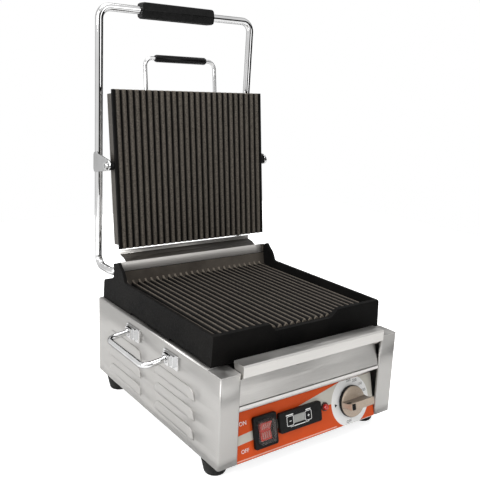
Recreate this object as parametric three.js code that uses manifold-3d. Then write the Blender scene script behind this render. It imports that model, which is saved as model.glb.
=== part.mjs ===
// Contact grill with a ribbed griddle, a ribbed plate that swings down on an arm,
// a drip tray and a sloped control panel.
// Millimetres. X runs to the right, Y to the back and Z up.
// Inside the press group, z = 0 is the bottom edge of the housing and y = 0 its middle.
// The exported group moves that to the middle of the whole object's footprint.
import * as THREE from 'three';
import { mergeVertices } from 'three/addons/utils/BufferGeometryUtils.js';
import Module from 'manifold-3d';

const wasm = await Module();
wasm.setup();

// ---- Driving dimensions ----
const GAP = 0.3;                       // air left between touching pieces
const SHEET = 1.5;                     // housing sheet
const THIN_SHEET = 1.2;                // tray and cover sheet
const DEG = Math.PI / 180;

const HOUSING_WIDTH = 320;
const HOUSING_DEPTH = 367;
const HOUSING_HEIGHT = 130.5;
const COLUMN_WIDTH = 31.2;             // front corner columns
const FOOT_HEIGHT = 22;
const FOOT_SIDE_INSET = 20;            // from the housing's side to the foot's axis
const FOOT_END_INSET = 36;             // from its front or back

const PANEL_SLOPE = 13.4;              // control panel leans back, degrees
const PANEL_LENGTH = 79;               // along the slope
const DIVIDER_TOP = 83;
const DIVIDER_LIP = 5;

const TRAY_DEPTH = 314;
const TRAY_TRAVEL = 240;
const LIP_TOP = 141;
const LIP_FRONT = -187.2;

const GRIDDLE_HALF_WIDTH = 153.8;
const RIM_HALF_WIDTH = 151.5;          // the casting narrows towards its rim
const GRIDDLE_INSIDE = 146.4;
const GRIDDLE_FRONT = -151;
const GRIDDLE_BOTTOM = 131;
const GRIDDLE_BACK_WALL = 137.6;
const RIM_TOP = 173.5;
const RIB_TOP = 165.5;
const RIB_HEIGHT = 4.5;
const RIB_PITCH = 11.2;
const RIB_COUNT = 25;

const SHAFT_Y = 155;
const SHAFT_Z = 178;
const SHAFT_RADIUS = 6;
const ARM_RADIUS = 6.2;
const ARM_HALF_WIDTH = 145.5;
const ARM_TOP_Y = 203.5;
const ARM_TOP_Z = 595.2;
const ARM_BASE_Y = 216;

const PIVOT_Y = 158.5;
const PIVOT_Z = 352.8;
const PLATEN_LEAN = 6;                 // open plate leans back, degrees
const PLATE_HALF_WIDTH = 144.1;
const PLATE_BELOW_PIVOT = 133.2;
const PLATE_ABOVE_PIVOT = 118;
const PLATE_FACE = -10.7;              // rib tops, in front of the pivot
const PLATE_BACK = -4.2;
const PLATE_BOSS_BACK = -0.5;          // thicker middle, inside the cover
const COVER_BACK = 20.7;
const COVER_BELOW_PIVOT = 127.5;
const COVER_ABOVE_PIVOT = 112.3;
const BOLT_RADIUS = 3.5;
const COVER_HALF_WIDTH = 142;

const halfWidth = HOUSING_WIDTH / 2;
const front = -HOUSING_DEPTH / 2;
const back = HOUSING_DEPTH / 2;
const openingHalf = halfWidth - COLUMN_WIDTH;

// ---- Materials ----
const metal = (color, roughness) => new THREE.MeshStandardMaterial({ color, roughness, metalness: 1 });
const plain = (color, roughness) => new THREE.MeshStandardMaterial({ color, roughness, metalness: 0 });
const brushedSteel = metal(0xc4c2bd, 0.38);
const chrome = metal(0xe6e6e8, 0.08);
const castIron = new THREE.MeshStandardMaterial({ color: 0x1b1a19, roughness: 0.62, metalness: 0.4 });
const zincSteel = metal(0x9b9c9e, 0.45);
const heaterSheath = metal(0x55534f, 0.5);
const blackPlastic = plain(0x121212, 0.45);
const blackRubber = plain(0x0d0d0d, 0.85);
const orangeFilm = plain(0xc8451a, 0.4);
const redPlastic = plain(0xb3200f, 0.25);
const clearPlastic = new THREE.MeshStandardMaterial({
  color: 0xd8dcdc, roughness: 0.1, transparent: true, opacity: 0.35 });
const champagne = new THREE.MeshStandardMaterial({ color: 0xb5a794, roughness: 0.4, metalness: 0.5 });
const whitePlastic = plain(0xe6e6e4, 0.4);
const greyDisplay = plain(0x7d807b, 0.3);
const woolGrey = plain(0xb8b3a6, 0.95);

// ---- Solids ----
function solid(geometry) {
  const bare = geometry.clone();
  bare.deleteAttribute('normal');
  bare.deleteAttribute('uv');
  const merged = mergeVertices(bare, 1e-4);
  const triVerts = Uint32Array.from(merged.index.array);
  const vertProperties = Float32Array.from(merged.attributes.position.array);
  const body = new wasm.Manifold(new wasm.Mesh({ numProp: 3, vertProperties, triVerts }));
  if (body.volume() > 0) return body;
  for (let i = 0; i < triVerts.length; i += 3) {
    [triVerts[i], triVerts[i + 1]] = [triVerts[i + 1], triVerts[i]];
  }
  return new wasm.Manifold(new wasm.Mesh({ numProp: 3, vertProperties, triVerts }));
}

function surface(body) {
  const mesh = body.getMesh();
  const geometry = new THREE.BufferGeometry();
  geometry.setAttribute('position', new THREE.BufferAttribute(Float32Array.from(mesh.vertProperties), 3));
  geometry.setIndex(new THREE.BufferAttribute(Uint32Array.from(mesh.triVerts), 1));
  return geometry;
}

function add(group, name, body, material) {
  const mesh = new THREE.Mesh(surface(body), material);
  mesh.name = name;
  group.add(mesh);
  return mesh;
}

const union = (bodies) => bodies.reduce((sum, body) => sum.add(body));

function block([x0, x1], [y0, y1], [z0, z1]) {
  const geometry = new THREE.BoxGeometry(x1 - x0, y1 - y0, z1 - z0);
  geometry.translate((x0 + x1) / 2, (y0 + y1) / 2, (z0 + z1) / 2);
  return solid(geometry);
}

function prism(outline, depth) {
  const shape = new THREE.Shape(outline.map(([u, v]) => new THREE.Vector2(u, v)));
  return new THREE.ExtrudeGeometry(shape, { depth, bevelEnabled: false, steps: 1 });
}

// An outline of [y, z] points, run from x0 to x1.
function prismX(outline, x0, x1) {
  const geometry = prism(outline, x1 - x0);
  geometry.applyMatrix4(new THREE.Matrix4().set(0, 0, 1, x0, 1, 0, 0, 0, 0, 1, 0, 0, 0, 0, 0, 1));
  return solid(geometry);
}

// An outline of [x, z] points, run from y0 to y1.
function prismY(outline, y0, y1) {
  const geometry = prism(outline, y1 - y0);
  geometry.applyMatrix4(new THREE.Matrix4().set(1, 0, 0, 0, 0, 0, 1, y0, 0, 1, 0, 0, 0, 0, 0, 1));
  return solid(geometry);
}

// An outline of [x, y] points, run from z0 to z1.
function prismZ(outline, z0, z1) {
  const geometry = prism(outline, z1 - z0);
  geometry.translate(0, 0, z0);
  return solid(geometry);
}

function cylinderX(y, z, radius, x0, x1, sides = 20) {
  const geometry = new THREE.CylinderGeometry(radius, radius, x1 - x0, sides);
  geometry.rotateZ(Math.PI / 2);
  geometry.translate((x0 + x1) / 2, y, z);
  return solid(geometry);
}

function cylinderY(x, z, radius, y0, y1, sides = 24) {
  const geometry = new THREE.CylinderGeometry(radius, radius, y1 - y0, sides);
  geometry.translate(x, (y0 + y1) / 2, z);
  return solid(geometry);
}

// A round body from a [radius, height] profile, standing on z = 0.
function turned(profile, sides = 24) {
  const points = profile.map(([radius, height]) => new THREE.Vector2(radius, height));
  const geometry = new THREE.LatheGeometry(points, sides);
  geometry.rotateX(Math.PI / 2);
  return solid(geometry);
}

// Rounds the corners of an outline or a path; every point is [a, b] or [a, b, radius].
function rounded(points, defaultRadius, steps = 3, closed = true) {
  const result = [];
  points.forEach(([a, b, radius = defaultRadius], i) => {
    const isEnd = !closed && (i === 0 || i === points.length - 1);
    if (isEnd || radius === 0) {
      result.push([a, b]);
      return;
    }
    const corner = new THREE.Vector2(a, b);
    const before = new THREE.Vector2(...points.at(i - 1).slice(0, 2)).sub(corner).normalize();
    const after = new THREE.Vector2(...points[(i + 1) % points.length].slice(0, 2)).sub(corner).normalize();
    const halfAngle = Math.acos(THREE.MathUtils.clamp(before.dot(after), -1, 1)) / 2;
    const centre = corner.clone().add(
      before.clone().add(after).normalize().multiplyScalar(radius / Math.sin(halfAngle)));
    const start = corner.clone().addScaledVector(before, radius / Math.tan(halfAngle)).sub(centre);
    const end = corner.clone().addScaledVector(after, radius / Math.tan(halfAngle)).sub(centre);
    const turn = Math.atan2(start.cross(end), start.dot(end));
    for (let k = 0; k <= steps; k += 1) {
      const arm = start.clone().rotateAround(new THREE.Vector2(), turn * k / steps);
      result.push([centre.x + arm.x, centre.y + arm.y]);
    }
  });
  return result;
}

// A path through 3-D corners, each corner bent to a radius.
function bentPath(corners, radius, steps = 5) {
  const path = [];
  corners.forEach((corner, i) => {
    if (i === 0 || i === corners.length - 1) {
      path.push(corner.clone());
      return;
    }
    const before = corners[i - 1].clone().sub(corner).normalize();
    const after = corners[i + 1].clone().sub(corner).normalize();
    const halfAngle = before.angleTo(after) / 2;
    const setback = radius / Math.tan(halfAngle);
    const centre = corner.clone().add(
      before.clone().add(after).normalize().multiplyScalar(radius / Math.sin(halfAngle)));
    const start = corner.clone().addScaledVector(before, setback).sub(centre);
    const end = corner.clone().addScaledVector(after, setback).sub(centre);
    const axis = start.clone().cross(end).normalize();
    const turn = start.angleTo(end);
    for (let k = 0; k <= steps; k += 1) {
      path.push(start.clone().applyAxisAngle(axis, turn * k / steps).add(centre));
    }
  });
  return path;
}

// A curve that gives back its own list of points, so each point becomes one ring of the rod.
class PointPath extends THREE.Curve {
  constructor(points) {
    super();
    this.points = points;
  }

  getPoint(t) {
    const place = t * (this.points.length - 1);
    const i = Math.min(Math.floor(place), this.points.length - 2);
    return this.points[i].clone().lerp(this.points[i + 1], place - i);
  }

  getPointAt(t) {
    return this.getPoint(t);
  }

  getTangentAt(t) {
    const last = this.points.length - 1;
    const i = Math.round(t * last);
    const ahead = this.points[Math.min(i + 1, last)].clone();
    return ahead.sub(this.points[Math.max(i - 1, 0)]).normalize();
  }

  getSpacedPoints() {
    return this.points.map((point) => point.clone());
  }
}

function rod(points, radius, sides = 10) {
  const circle = new THREE.Shape();
  for (let i = 0; i < sides; i += 1) {
    const angle = 2 * Math.PI * i / sides;
    const x = radius * Math.cos(angle);
    const y = radius * Math.sin(angle);
    if (i === 0) circle.moveTo(x, y);
    else circle.lineTo(x, y);
  }
  circle.closePath();
  const extrudePath = new PointPath(points);
  const steps = points.length - 1;
  return solid(new THREE.ExtrudeGeometry(circle, { steps, extrudePath, bevelEnabled: false }));
}

const vec = (x, y, z) => new THREE.Vector3(x, y, z);
const sides = [['left', -1], ['right', 1]];
const mirrorX = (body, side) => (side < 0 ? body : body.mirror([1, 0, 0]));

const press = new THREE.Group();

// ---- Housing ----
// Each side is one folded sheet: wall, front column with its return, rear flange and top flange.
// Six pressed louvres stand out of each wall in two columns of three.
const LOUVRE_LENGTH = 110;
const LOUVRE_HEIGHT = 16;
const LOUVRE_STAND_OUT = 3;
const LOUVRE_TOPS = [90, 61.5, 33];
const LOUVRE_MIDDLES = [-69, 84];
const TOP_FLANGE = 18;
const REAR_FLANGE = 20;
const COLUMN_CAP_DEPTH = 32;
const COLUMN_RETURN = 4;
const FOLD_BOTTOM = 2;
const FOLD_STEP = 0.2;                 // folds stand this far off the wall's own edges

function louvre(middle, top) {
  const geometry = new THREE.CapsuleGeometry(LOUVRE_HEIGHT, LOUVRE_LENGTH - 2 * LOUVRE_HEIGHT, 4, 12);
  geometry.scale(LOUVRE_STAND_OUT / LOUVRE_HEIGHT, 1, 1);
  geometry.translate(-halfWidth + GAP, middle, top - LOUVRE_HEIGHT);
  const keep = block([-halfWidth - 20, -halfWidth + SHEET / 2], [middle - 90, middle + 90],
    [top - LOUVRE_HEIGHT, top + LOUVRE_HEIGHT]);
  return solid(geometry).intersect(keep);
}

function sidePanel() {
  const top = HOUSING_HEIGHT - FOLD_STEP;
  const wallOutline = rounded(
    [[front + FOLD_STEP, 0, 0], [back, 0, 6], [back, top, 8], [front + FOLD_STEP, top, 0]], 0);
  const capBack = front + COLUMN_CAP_DEPTH;
  const flangeBack = back - 10;
  const flangeX = -halfWidth + TOP_FLANGE;
  const topOutline = [[-halfWidth, front], [-openingHalf, front],
    [-openingHalf, capBack], [flangeX, capBack],
    [flangeX, flangeBack], [-halfWidth, flangeBack]];
  const pieces = [
    prismX(wallOutline, -halfWidth + FOLD_STEP, -halfWidth + FOLD_STEP + SHEET),
    prismZ(topOutline, HOUSING_HEIGHT - SHEET, HOUSING_HEIGHT),
    block([-halfWidth, -openingHalf], [front, front + SHEET], [FOLD_BOTTOM, top]),
    block([-openingHalf - SHEET, -openingHalf - FOLD_STEP],
      [front + FOLD_STEP, front + COLUMN_RETURN], [FOLD_BOTTOM + 1, top]),
    block([-halfWidth + SHEET / 2, -halfWidth + REAR_FLANGE], [back - SHEET - FOLD_STEP, back - FOLD_STEP],
      [10, HOUSING_HEIGHT - 10]),
  ];
  for (const middle of LOUVRE_MIDDLES) {
    for (const louvreTop of LOUVRE_TOPS) pieces.push(louvre(middle, louvreTop));
  }
  return union(pieces);
}

for (const [side, sign] of sides) {
  add(press, `${side}_side_panel`, mirrorX(sidePanel(), sign), brushedSteel);
}

const INLET_X = 90;
const INLET_Z = 32;
const rearPanelFace = back - SHEET - FOLD_STEP - GAP;
const rearPanel = block([-156, 156], [rearPanelFace - SHEET, rearPanelFace],
  [FOLD_BOTTOM, HOUSING_HEIGHT - 3])
  .subtract(cylinderY(INLET_X, INLET_Z, 8 + GAP, back - 20, back + 20))
  .subtract(union([-60, -20, 20].map((x) => block([x - 15, x + 15], [back - 20, back + 20], [60, 65]))));
add(press, 'rear_panel', rearPanel, brushedSteel);

const insideWall = halfWidth - FOLD_STEP - SHEET - GAP;
const bottomPlate = block([-insideWall, insideWall],
  [front + 2 * (SHEET + GAP), rearPanelFace - SHEET - GAP], [0, SHEET])
  .subtract(union([-80, -40, 0, 40, 80].map((x) => block([x - 4, x + 4], [-60, 60], [-5, 5]))));
add(press, 'bottom_plate', bottomPlate, zincSteel);

for (const [depthName, depthSign] of [['front', -1], ['rear', 1]]) {
  for (const [side, sign] of sides) {
    const foot = turned([[0, 0], [13.5, 0], [15.5, 2.5], [19.4, FOOT_HEIGHT - GAP],
      [0, FOOT_HEIGHT - GAP]], 24);
    const mesh = add(press, `foot_${depthName}_${side}`, foot, blackRubber);
    mesh.position.set(sign * (halfWidth - FOOT_SIDE_INSET),
      depthSign * (back - FOOT_END_INSET), -FOOT_HEIGHT);
  }
}

// The divider is the floor of the tray bay and closes the control bay below it.
const dividerOutline = [
  [-openingHalf + GAP, front + SHEET], [openingHalf - GAP, front + SHEET], [openingHalf - GAP, front + 20],
  [insideWall, front + 20], [insideWall, 160], [-insideWall, 160], [-insideWall, front + 20],
  [-openingHalf + GAP, front + 20],
];
const divider = prismZ(dividerOutline, DIVIDER_TOP - THIN_SHEET, DIVIDER_TOP).add(
  block([-openingHalf + GAP, openingHalf - GAP], [front + SHEET, front + 2 * SHEET],
    [DIVIDER_TOP - DIVIDER_LIP, DIVIDER_TOP]));
add(press, 'tray_divider', divider, brushedSteel);

// Angle runners keep the tray in line and hold it down.
for (const [side, sign] of sides) {
  const runner = prismY([[-134, DIVIDER_TOP + GAP], [-129, DIVIDER_TOP + GAP], [-129, DIVIDER_TOP + 32],
    [-124, DIVIDER_TOP + 32], [-124, DIVIDER_TOP + 33.5], [-130.5, DIVIDER_TOP + 33.5],
    [-130.5, DIVIDER_TOP + GAP + SHEET], [-134, DIVIDER_TOP + GAP + SHEET]], front + 22, 150);
  add(press, `tray_runner_${side}`, mirrorX(runner, sign), zincSteel);
}

// ---- Drip tray ----
const trayHalf = openingHalf - 0.8;
const panHalf = 126;
const panFloor = DIVIDER_TOP + 1;
const panTop = DIVIDER_TOP + 28;
const trayFaceBottom = -181;
const trayFaceTop = -165.5;
const panFront = trayFaceTop - 6;
const panBack = panFront + TRAY_DEPTH;
const pan = block([-panHalf, panHalf], [panFront, panBack], [panFloor, panTop])
  .subtract(block([-panHalf + THIN_SHEET, panHalf - THIN_SHEET],
    [panFront + THIN_SHEET, panBack - THIN_SHEET], [panFloor + THIN_SHEET, panTop + 1]));
const trayFaceOutline = [
  [trayFaceBottom, panFloor], [trayFaceBottom + 8, panFloor], [trayFaceBottom + 8, panFloor + THIN_SHEET],
  [trayFaceBottom + THIN_SHEET, panFloor + THIN_SHEET], [trayFaceTop + THIN_SHEET, LIP_TOP],
  [LIP_FRONT + 2, LIP_TOP], [LIP_FRONT, LIP_TOP - 2], [LIP_FRONT, LIP_TOP - 16],
  [LIP_FRONT + THIN_SHEET, LIP_TOP - 16], [LIP_FRONT + THIN_SHEET, LIP_TOP - 2 - THIN_SHEET / 2],
  [LIP_FRONT + 2.4, LIP_TOP - THIN_SHEET], [trayFaceTop - 0.6, LIP_TOP - THIN_SHEET],
];
const gussetOutline = [[trayFaceTop - 1, LIP_TOP - 0.6], [LIP_FRONT + 1, LIP_TOP - 0.6],
  [LIP_FRONT + 0.5, LIP_TOP - 15.9], [trayFaceTop - 3, LIP_TOP - 30]];
const clearOfPan = block([-panHalf - GAP, panHalf + GAP], [panFront - GAP, panBack],
  [panFloor - 1, panTop + GAP]);
const trayFace = prismX(trayFaceOutline, -trayHalf, trayHalf)
  .subtract(clearOfPan)
  .add(prismX(gussetOutline, -trayHalf, -trayHalf + THIN_SHEET))
  .add(prismX(gussetOutline, trayHalf - THIN_SHEET, trayHalf));
add(press, 'drip_tray_pan', pan, brushedSteel);
add(press, 'drip_tray_front', trayFace, brushedSteel);

// ---- Control panel, in its own frame: x across, z up the slope, -y out of the panel ----
const panel = new THREE.Group();
panel.position.set(0, front + SHEET, 0.5);
panel.rotation.x = -PANEL_SLOPE * DEG;
press.add(panel);

const KNOB_X = 81.5;
const KNOB_Z = 34.5;
const LAMP_X = 30.2;
const LAMP_Z = 38.4;
const ROCKER = { x: [-99.8, -60.8], z: [12, 56] };
const TIMER = { x: [-57, 19.2], z: [22.4, 51] };
const OVERLAY_THICKNESS = 0.4;
const overlayFront = -GAP - OVERLAY_THICKNESS;
const onPanel = overlayFront - GAP;
const middleOf = ([low, high]) => (low + high) / 2;
const lengthOf = ([low, high]) => high - low;

const panelCuts = [
  block([ROCKER.x[0] + 5, ROCKER.x[1] - 5], [-10, 10], [ROCKER.z[0] + 4, ROCKER.z[1] - 4]),
  block([TIMER.x[0] + 4, TIMER.x[1] - 4], [-10, 10], [TIMER.z[0] + 4, TIMER.z[1] - 4]),
  cylinderY(LAMP_X, LAMP_Z, 4.5, -10, 10),
  cylinderY(KNOB_X, KNOB_Z, 5, -10, 10),
];
const panelSheet = block([-openingHalf + GAP, openingHalf - GAP], [0, SHEET], [0, PANEL_LENGTH]);
add(panel, 'control_panel', panelSheet.subtract(union(panelCuts)), brushedSteel);
const overlay = block([-openingHalf + GAP, openingHalf - GAP], [overlayFront, -GAP], [1, 67.2]);
add(panel, 'panel_overlay', overlay.subtract(union(panelCuts)), orangeFilm);

// On-off rocker: bezel and body in one moulding, the rocker inside and a clear boot over it.
const rockerMiddleX = middleOf(ROCKER.x);
const rockerMiddleZ = middleOf(ROCKER.z);
const rockerHalf = lengthOf(ROCKER.x) / 2;
const rockerTall = lengthOf(ROCKER.z) / 2;
const around = (halfX, halfZ, depths) => block([rockerMiddleX - halfX, rockerMiddleX + halfX], depths,
  [rockerMiddleZ - halfZ, rockerMiddleZ + halfZ]);
const rockerHousing = around(rockerHalf, rockerTall, [onPanel - 5, onPanel])
  .add(around(rockerHalf - 6, rockerTall - 5, [onPanel - 1, 24]))
  .subtract(around(rockerHalf - 9, rockerTall - 6.8, [onPanel - 6, 10]));
add(panel, 'rocker_housing', rockerHousing, blackPlastic);
const rockerFace = rounded([[-13, -6, 2], [1, -3, 0], [13, -9, 2], [9, 6, 2], [-9, 6, 2]], 2, 2);
const rockerButton = prismX(rockerFace.map(([along, out]) => [out, along]), -9, 9);
const rockerMesh = add(panel, 'rocker_button', rockerButton, redPlastic);
rockerMesh.position.set(rockerMiddleX, 0, rockerMiddleZ);
const bootOuter = around(rockerHalf - 5, rockerTall - 5, [onPanel - 12, onPanel - 5 - GAP]);
const bootInner = around(rockerHalf - 6.5, rockerTall - 6.5, [onPanel - 10.8, onPanel]);
add(panel, 'rocker_boot', bootOuter.subtract(bootInner), clearPlastic);

// Digital timer: face frame and case, window, and a minus and a plus button.
const timerMiddleZ = middleOf(TIMER.z);
const BUTTON_HALF_WIDTH = 4.2;
const BUTTON_HALF_HEIGHT = 5.2;
const buttonX = { minus: -39, plus: -6 };
const buttonSpan = (x, grow) => [[x - BUTTON_HALF_WIDTH - grow, x + BUTTON_HALF_WIDTH + grow],
  [timerMiddleZ - BUTTON_HALF_HEIGHT - grow, timerMiddleZ + BUTTON_HALF_HEIGHT + grow]];
const buttonPocket = (x) => {
  const [spanX, spanZ] = buttonSpan(x, GAP);
  return block(spanX, [onPanel - 10, onPanel - 1], spanZ);
};
const windowX = [-32.5, -12.5];
const windowZ = [timerMiddleZ - 5, timerMiddleZ + 6];
const timerHousing = block(TIMER.x, [onPanel - 6, onPanel], TIMER.z)
  .add(block([TIMER.x[0] + 5, TIMER.x[1] - 5], [onPanel - 1, 30], [TIMER.z[0] + 5, TIMER.z[1] - 5]))
  .subtract(union([buttonPocket(buttonX.minus), buttonPocket(buttonX.plus),
    block([windowX[0] - GAP, windowX[1] + GAP], [onPanel - 10, onPanel - 3],
      [windowZ[0] - GAP, windowZ[1] + GAP])]));
add(panel, 'timer_housing', timerHousing, blackPlastic);
add(panel, 'timer_window', block(windowX, [onPanel - 5.8, onPanel - 3 - GAP], windowZ), greyDisplay);
for (const [sense, x] of Object.entries(buttonX)) {
  const [spanX, spanZ] = buttonSpan(x, 0);
  add(panel, `timer_${sense}_button`, block(spanX, [onPanel - 6.6, onPanel - 2.6], spanZ), blackPlastic);
}

// Indicator lamp: a bezel with a faceted lens, and a stem behind the panel.
function facingOut(body, x, z, y) {
  const turnedOut = body.rotate([90, 0, 0]);
  return turnedOut.translate([x, y, z]);
}
const lamp = turned([[0, -18], [4.2, -18], [4.2, 0], [6.4, 0], [6.4, 2.5], [4.8, 3], [4, 6], [0, 7.5]], 16);
add(panel, 'indicator_lamp', facingOut(lamp, LAMP_X, LAMP_Z, onPanel), redPlastic);

// Thermostat behind the panel, and its knob: a round skirt with a bar grip.
const KNOB_RADIUS = 23.5;
const KNOB_HEIGHT = 26;
const thermostat = block([KNOB_X - 18, KNOB_X + 18], [SHEET + GAP, 34], [KNOB_Z - 18, KNOB_Z + 18])
  .add(cylinderY(KNOB_X, KNOB_Z, 3, -8, 4, 12));
add(panel, 'thermostat', thermostat, zincSteel);
const skirt = turned([[0, 0], [KNOB_RADIUS, 0], [KNOB_RADIUS, 5.5],
  [KNOB_RADIUS - 1.5, 7.5], [0, 7.5]], 32);
const BAR_HALF = 5.8;
const bar = prismZ([[-KNOB_RADIUS + 2, -BAR_HALF], [KNOB_RADIUS, -BAR_HALF], [KNOB_RADIUS, BAR_HALF],
  [-KNOB_RADIUS + 2, BAR_HALF]], 6, KNOB_HEIGHT);
const stemHole = turned([[0, -1], [3 + GAP, -1], [3 + GAP, 8.5], [0, 8.5]], 12);
const insertPocket = block([-KNOB_RADIUS, -KNOB_RADIUS + 7], [-4, 4], [KNOB_HEIGHT - 12, KNOB_HEIGHT + 1]);
const knob = skirt.add(bar).subtract(stemHole).subtract(insertPocket);
add(panel, 'thermostat_knob', facingOut(knob, KNOB_X, KNOB_Z, onPanel - 1), champagne);
const pointer = block([-KNOB_RADIUS + 1.6, -KNOB_RADIUS + 7 - GAP], [-4 + GAP, 4 - GAP],
  [KNOB_HEIGHT - 12 + GAP, KNOB_HEIGHT + 0.4]);
add(panel, 'knob_pointer', facingOut(pointer, KNOB_X, KNOB_Z, onPanel - 1), blackPlastic);

// ---- Supply: cable gland and terminal block ----
const gland = turned([[0, 0], [8, 0], [8, 10], [11, 10], [11, 15], [7, 24], [4, 24], [4, 6], [0, 6]], 16);
add(press, 'cable_gland', gland.rotate([-90, 0, 0]).translate([INLET_X, rearPanelFace - 9.5, INLET_Z]),
  blackPlastic);
const terminals = block([INLET_X - 30, INLET_X + 30], [110, 132], [SHEET + GAP, SHEET + 16])
  .subtract(union([-20, -7, 7, 20].map((x) =>
    block([INLET_X + x - 4, INLET_X + x + 4], [105, 116], [6, 30]))));
add(press, 'terminal_block', terminals, whitePlastic);

// ---- Lower griddle: one casting, ribbed on top and hollow below ----
function ribRow(count, pitch, height, halfLength, baseHalf, topHalf) {
  const rows = [];
  for (let i = 0; i < count; i += 1) {
    const x = (i - (count - 1) / 2) * pitch;
    rows.push(prismY([[x - baseHalf, -0.5], [x + baseHalf, -0.5], [x + topHalf, height],
      [x - topHalf, height]],
      -halfLength, halfLength));
  }
  return union(rows);
}

const ribFloor = RIB_TOP - RIB_HEIGHT;
const ribFront = -141;
const ribBack = 129;
const rearEnd = 178;
const sideOutline = rounded([
  [GRIDDLE_FRONT, GRIDDLE_BOTTOM, 0], [rearEnd, GRIDDLE_BOTTOM, 0], [rearEnd, 162, 4], [147.5, 170.8, 0],
  [142.7, 175.2, 0], [142.7, 197.3, 2], [134.4, 197.8, 0], [126.2, 202.9, 2], [119, 196, 0],
  [111, 189.4, 0],
  [105.9, 181.8, 0], [102.2, RIM_TOP + 1.5, 4], [GRIDDLE_FRONT, RIM_TOP, 3]], 0, 2);
const draftOutline = [[-GRIDDLE_HALF_WIDTH, GRIDDLE_BOTTOM - 1], [GRIDDLE_HALF_WIDTH, GRIDDLE_BOTTOM - 1],
  [RIM_HALF_WIDTH, RIM_TOP], [RIM_HALF_WIDTH, 230], [-RIM_HALF_WIDTH, 230], [-RIM_HALF_WIDTH, RIM_TOP]];
const wallOf = GRIDDLE_BACK_WALL;
const backWallOutline = [[ribBack, ribFloor], [wallOf - 4, 184], [wallOf + 1, 184], [wallOf + 5, ribFloor]];
const lowerRibs = ribRow(RIB_COUNT, RIB_PITCH, RIB_HEIGHT, (ribBack - ribFront) / 2, 4.4, 2.8)
  .translate([0, (ribBack + ribFront) / 2, ribFloor]);
const SLOT_HEIGHT = 3.5;
const sideSlots = union([[-20, 76], [-124, -44]].map((along) =>
  block([-GRIDDLE_HALF_WIDTH - 10, -GRIDDLE_HALF_WIDTH + 3],
  along, [GRIDDLE_BOTTOM - 1, GRIDDLE_BOTTOM + SLOT_HEIGHT])));
const griddle = prismX(sideOutline, -GRIDDLE_HALF_WIDTH - 1, GRIDDLE_HALF_WIDTH + 1)
  .intersect(prismY(draftOutline, GRIDDLE_FRONT - 1, rearEnd + 1))
  .subtract(block([-GRIDDLE_INSIDE, GRIDDLE_INSIDE], [GRIDDLE_FRONT + 7, wallOf + 2], [ribFloor, 300]))
  .subtract(block([-GRIDDLE_INSIDE, GRIDDLE_INSIDE], [wallOf + 1, 172], [148, 300]))
  .add(prismX(backWallOutline, -GRIDDLE_INSIDE - 1, GRIDDLE_INSIDE + 1))
  .add(lowerRibs)
  .subtract(block([-145, 145], [GRIDDLE_FRONT + 8, 133], [GRIDDLE_BOTTOM - 1, 150]))
  .subtract(prismY([[-50, ribFloor + 1], [-64, 180], [76, 180], [52, ribFloor + 1]],
    GRIDDLE_FRONT - 10, ribFront - 1))
  .subtract(sideSlots).subtract(sideSlots.mirror([1, 0, 0]));
add(press, 'lower_griddle', griddle, castIron);

// Heating element for a ribbed plate: one tube bent into a row of runs, lying in the x-y plane.
function heatingElement(halfX, halfY, z, runs, tail) {
  const corners = [vec(-halfX, halfY + tail, z)];
  for (let i = 0; i < runs; i += 1) {
    const x = -halfX + 2 * halfX * i / (runs - 1);
    const nearY = i % 2 === 0 ? halfY : -halfY;
    if (i > 0) corners.push(vec(x, nearY, z));
    if (i < runs - 1) corners.push(vec(x, -nearY, z));
  }
  corners.push(vec(halfX, halfY + tail, z));
  return rod(bentPath(corners, 12, 4), 4, 8);
}
add(press, 'lower_element', heatingElement(120, 100, 145.3, 6, 10), heaterSheath);
add(press, 'lower_clamp_plate', block([-130, 130], [-115, 95], [139.4, 141]), zincSteel);
add(press, 'lower_heat_shield', block([-143, 143], [GRIDDLE_FRONT + 10, 131], [132.5, 133.7]), zincSteel);
add(press, 'thermostat_bulb', cylinderX(120, 145.3, 3, -60, 60, 10), zincSteel);

// ---- Hinge: bearing blocks, shaft, springs and cover ----
const BLOCK_X = 103;
for (const [side, sign] of sides) {
  const blockOutline = rounded([[SHAFT_Y - 10, 148 + GAP, 0], [SHAFT_Y + 10, 148 + GAP, 0],
    [SHAFT_Y + 10, SHAFT_Z + 10], [SHAFT_Y - 10, SHAFT_Z + 10]], 9, 4);
  const bearing = prismX(blockOutline, -BLOCK_X - 8, -BLOCK_X + 8)
    .subtract(cylinderX(SHAFT_Y, SHAFT_Z, SHAFT_RADIUS + GAP, -BLOCK_X - 20, -BLOCK_X + 20));
  add(press, `hinge_block_${side}`, mirrorX(bearing, sign), zincSteel);
}

const SPRING_COIL = 9.5;
const SPRING_WIRE = 1.6;
const SPRING_TURNS = 9;
function torsionSpring() {
  const points = [vec(-85, SHAFT_Y + SPRING_COIL, SHAFT_Z - 27)];
  const stepsPerTurn = 10;
  for (let i = 0; i <= SPRING_TURNS * stepsPerTurn; i += 1) {
    const angle = 2 * Math.PI * i / stepsPerTurn;
    const x = -85 + i / stepsPerTurn * (2 * SPRING_WIRE + 1);
    points.push(vec(x, SHAFT_Y + SPRING_COIL * Math.cos(angle), SHAFT_Z + SPRING_COIL * Math.sin(angle)));
  }
  return rod(points, SPRING_WIRE, 6);
}
for (const [side, sign] of sides) {
  add(press, `torsion_spring_${side}`, mirrorX(torsionSpring(), sign), zincSteel);
}

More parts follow.
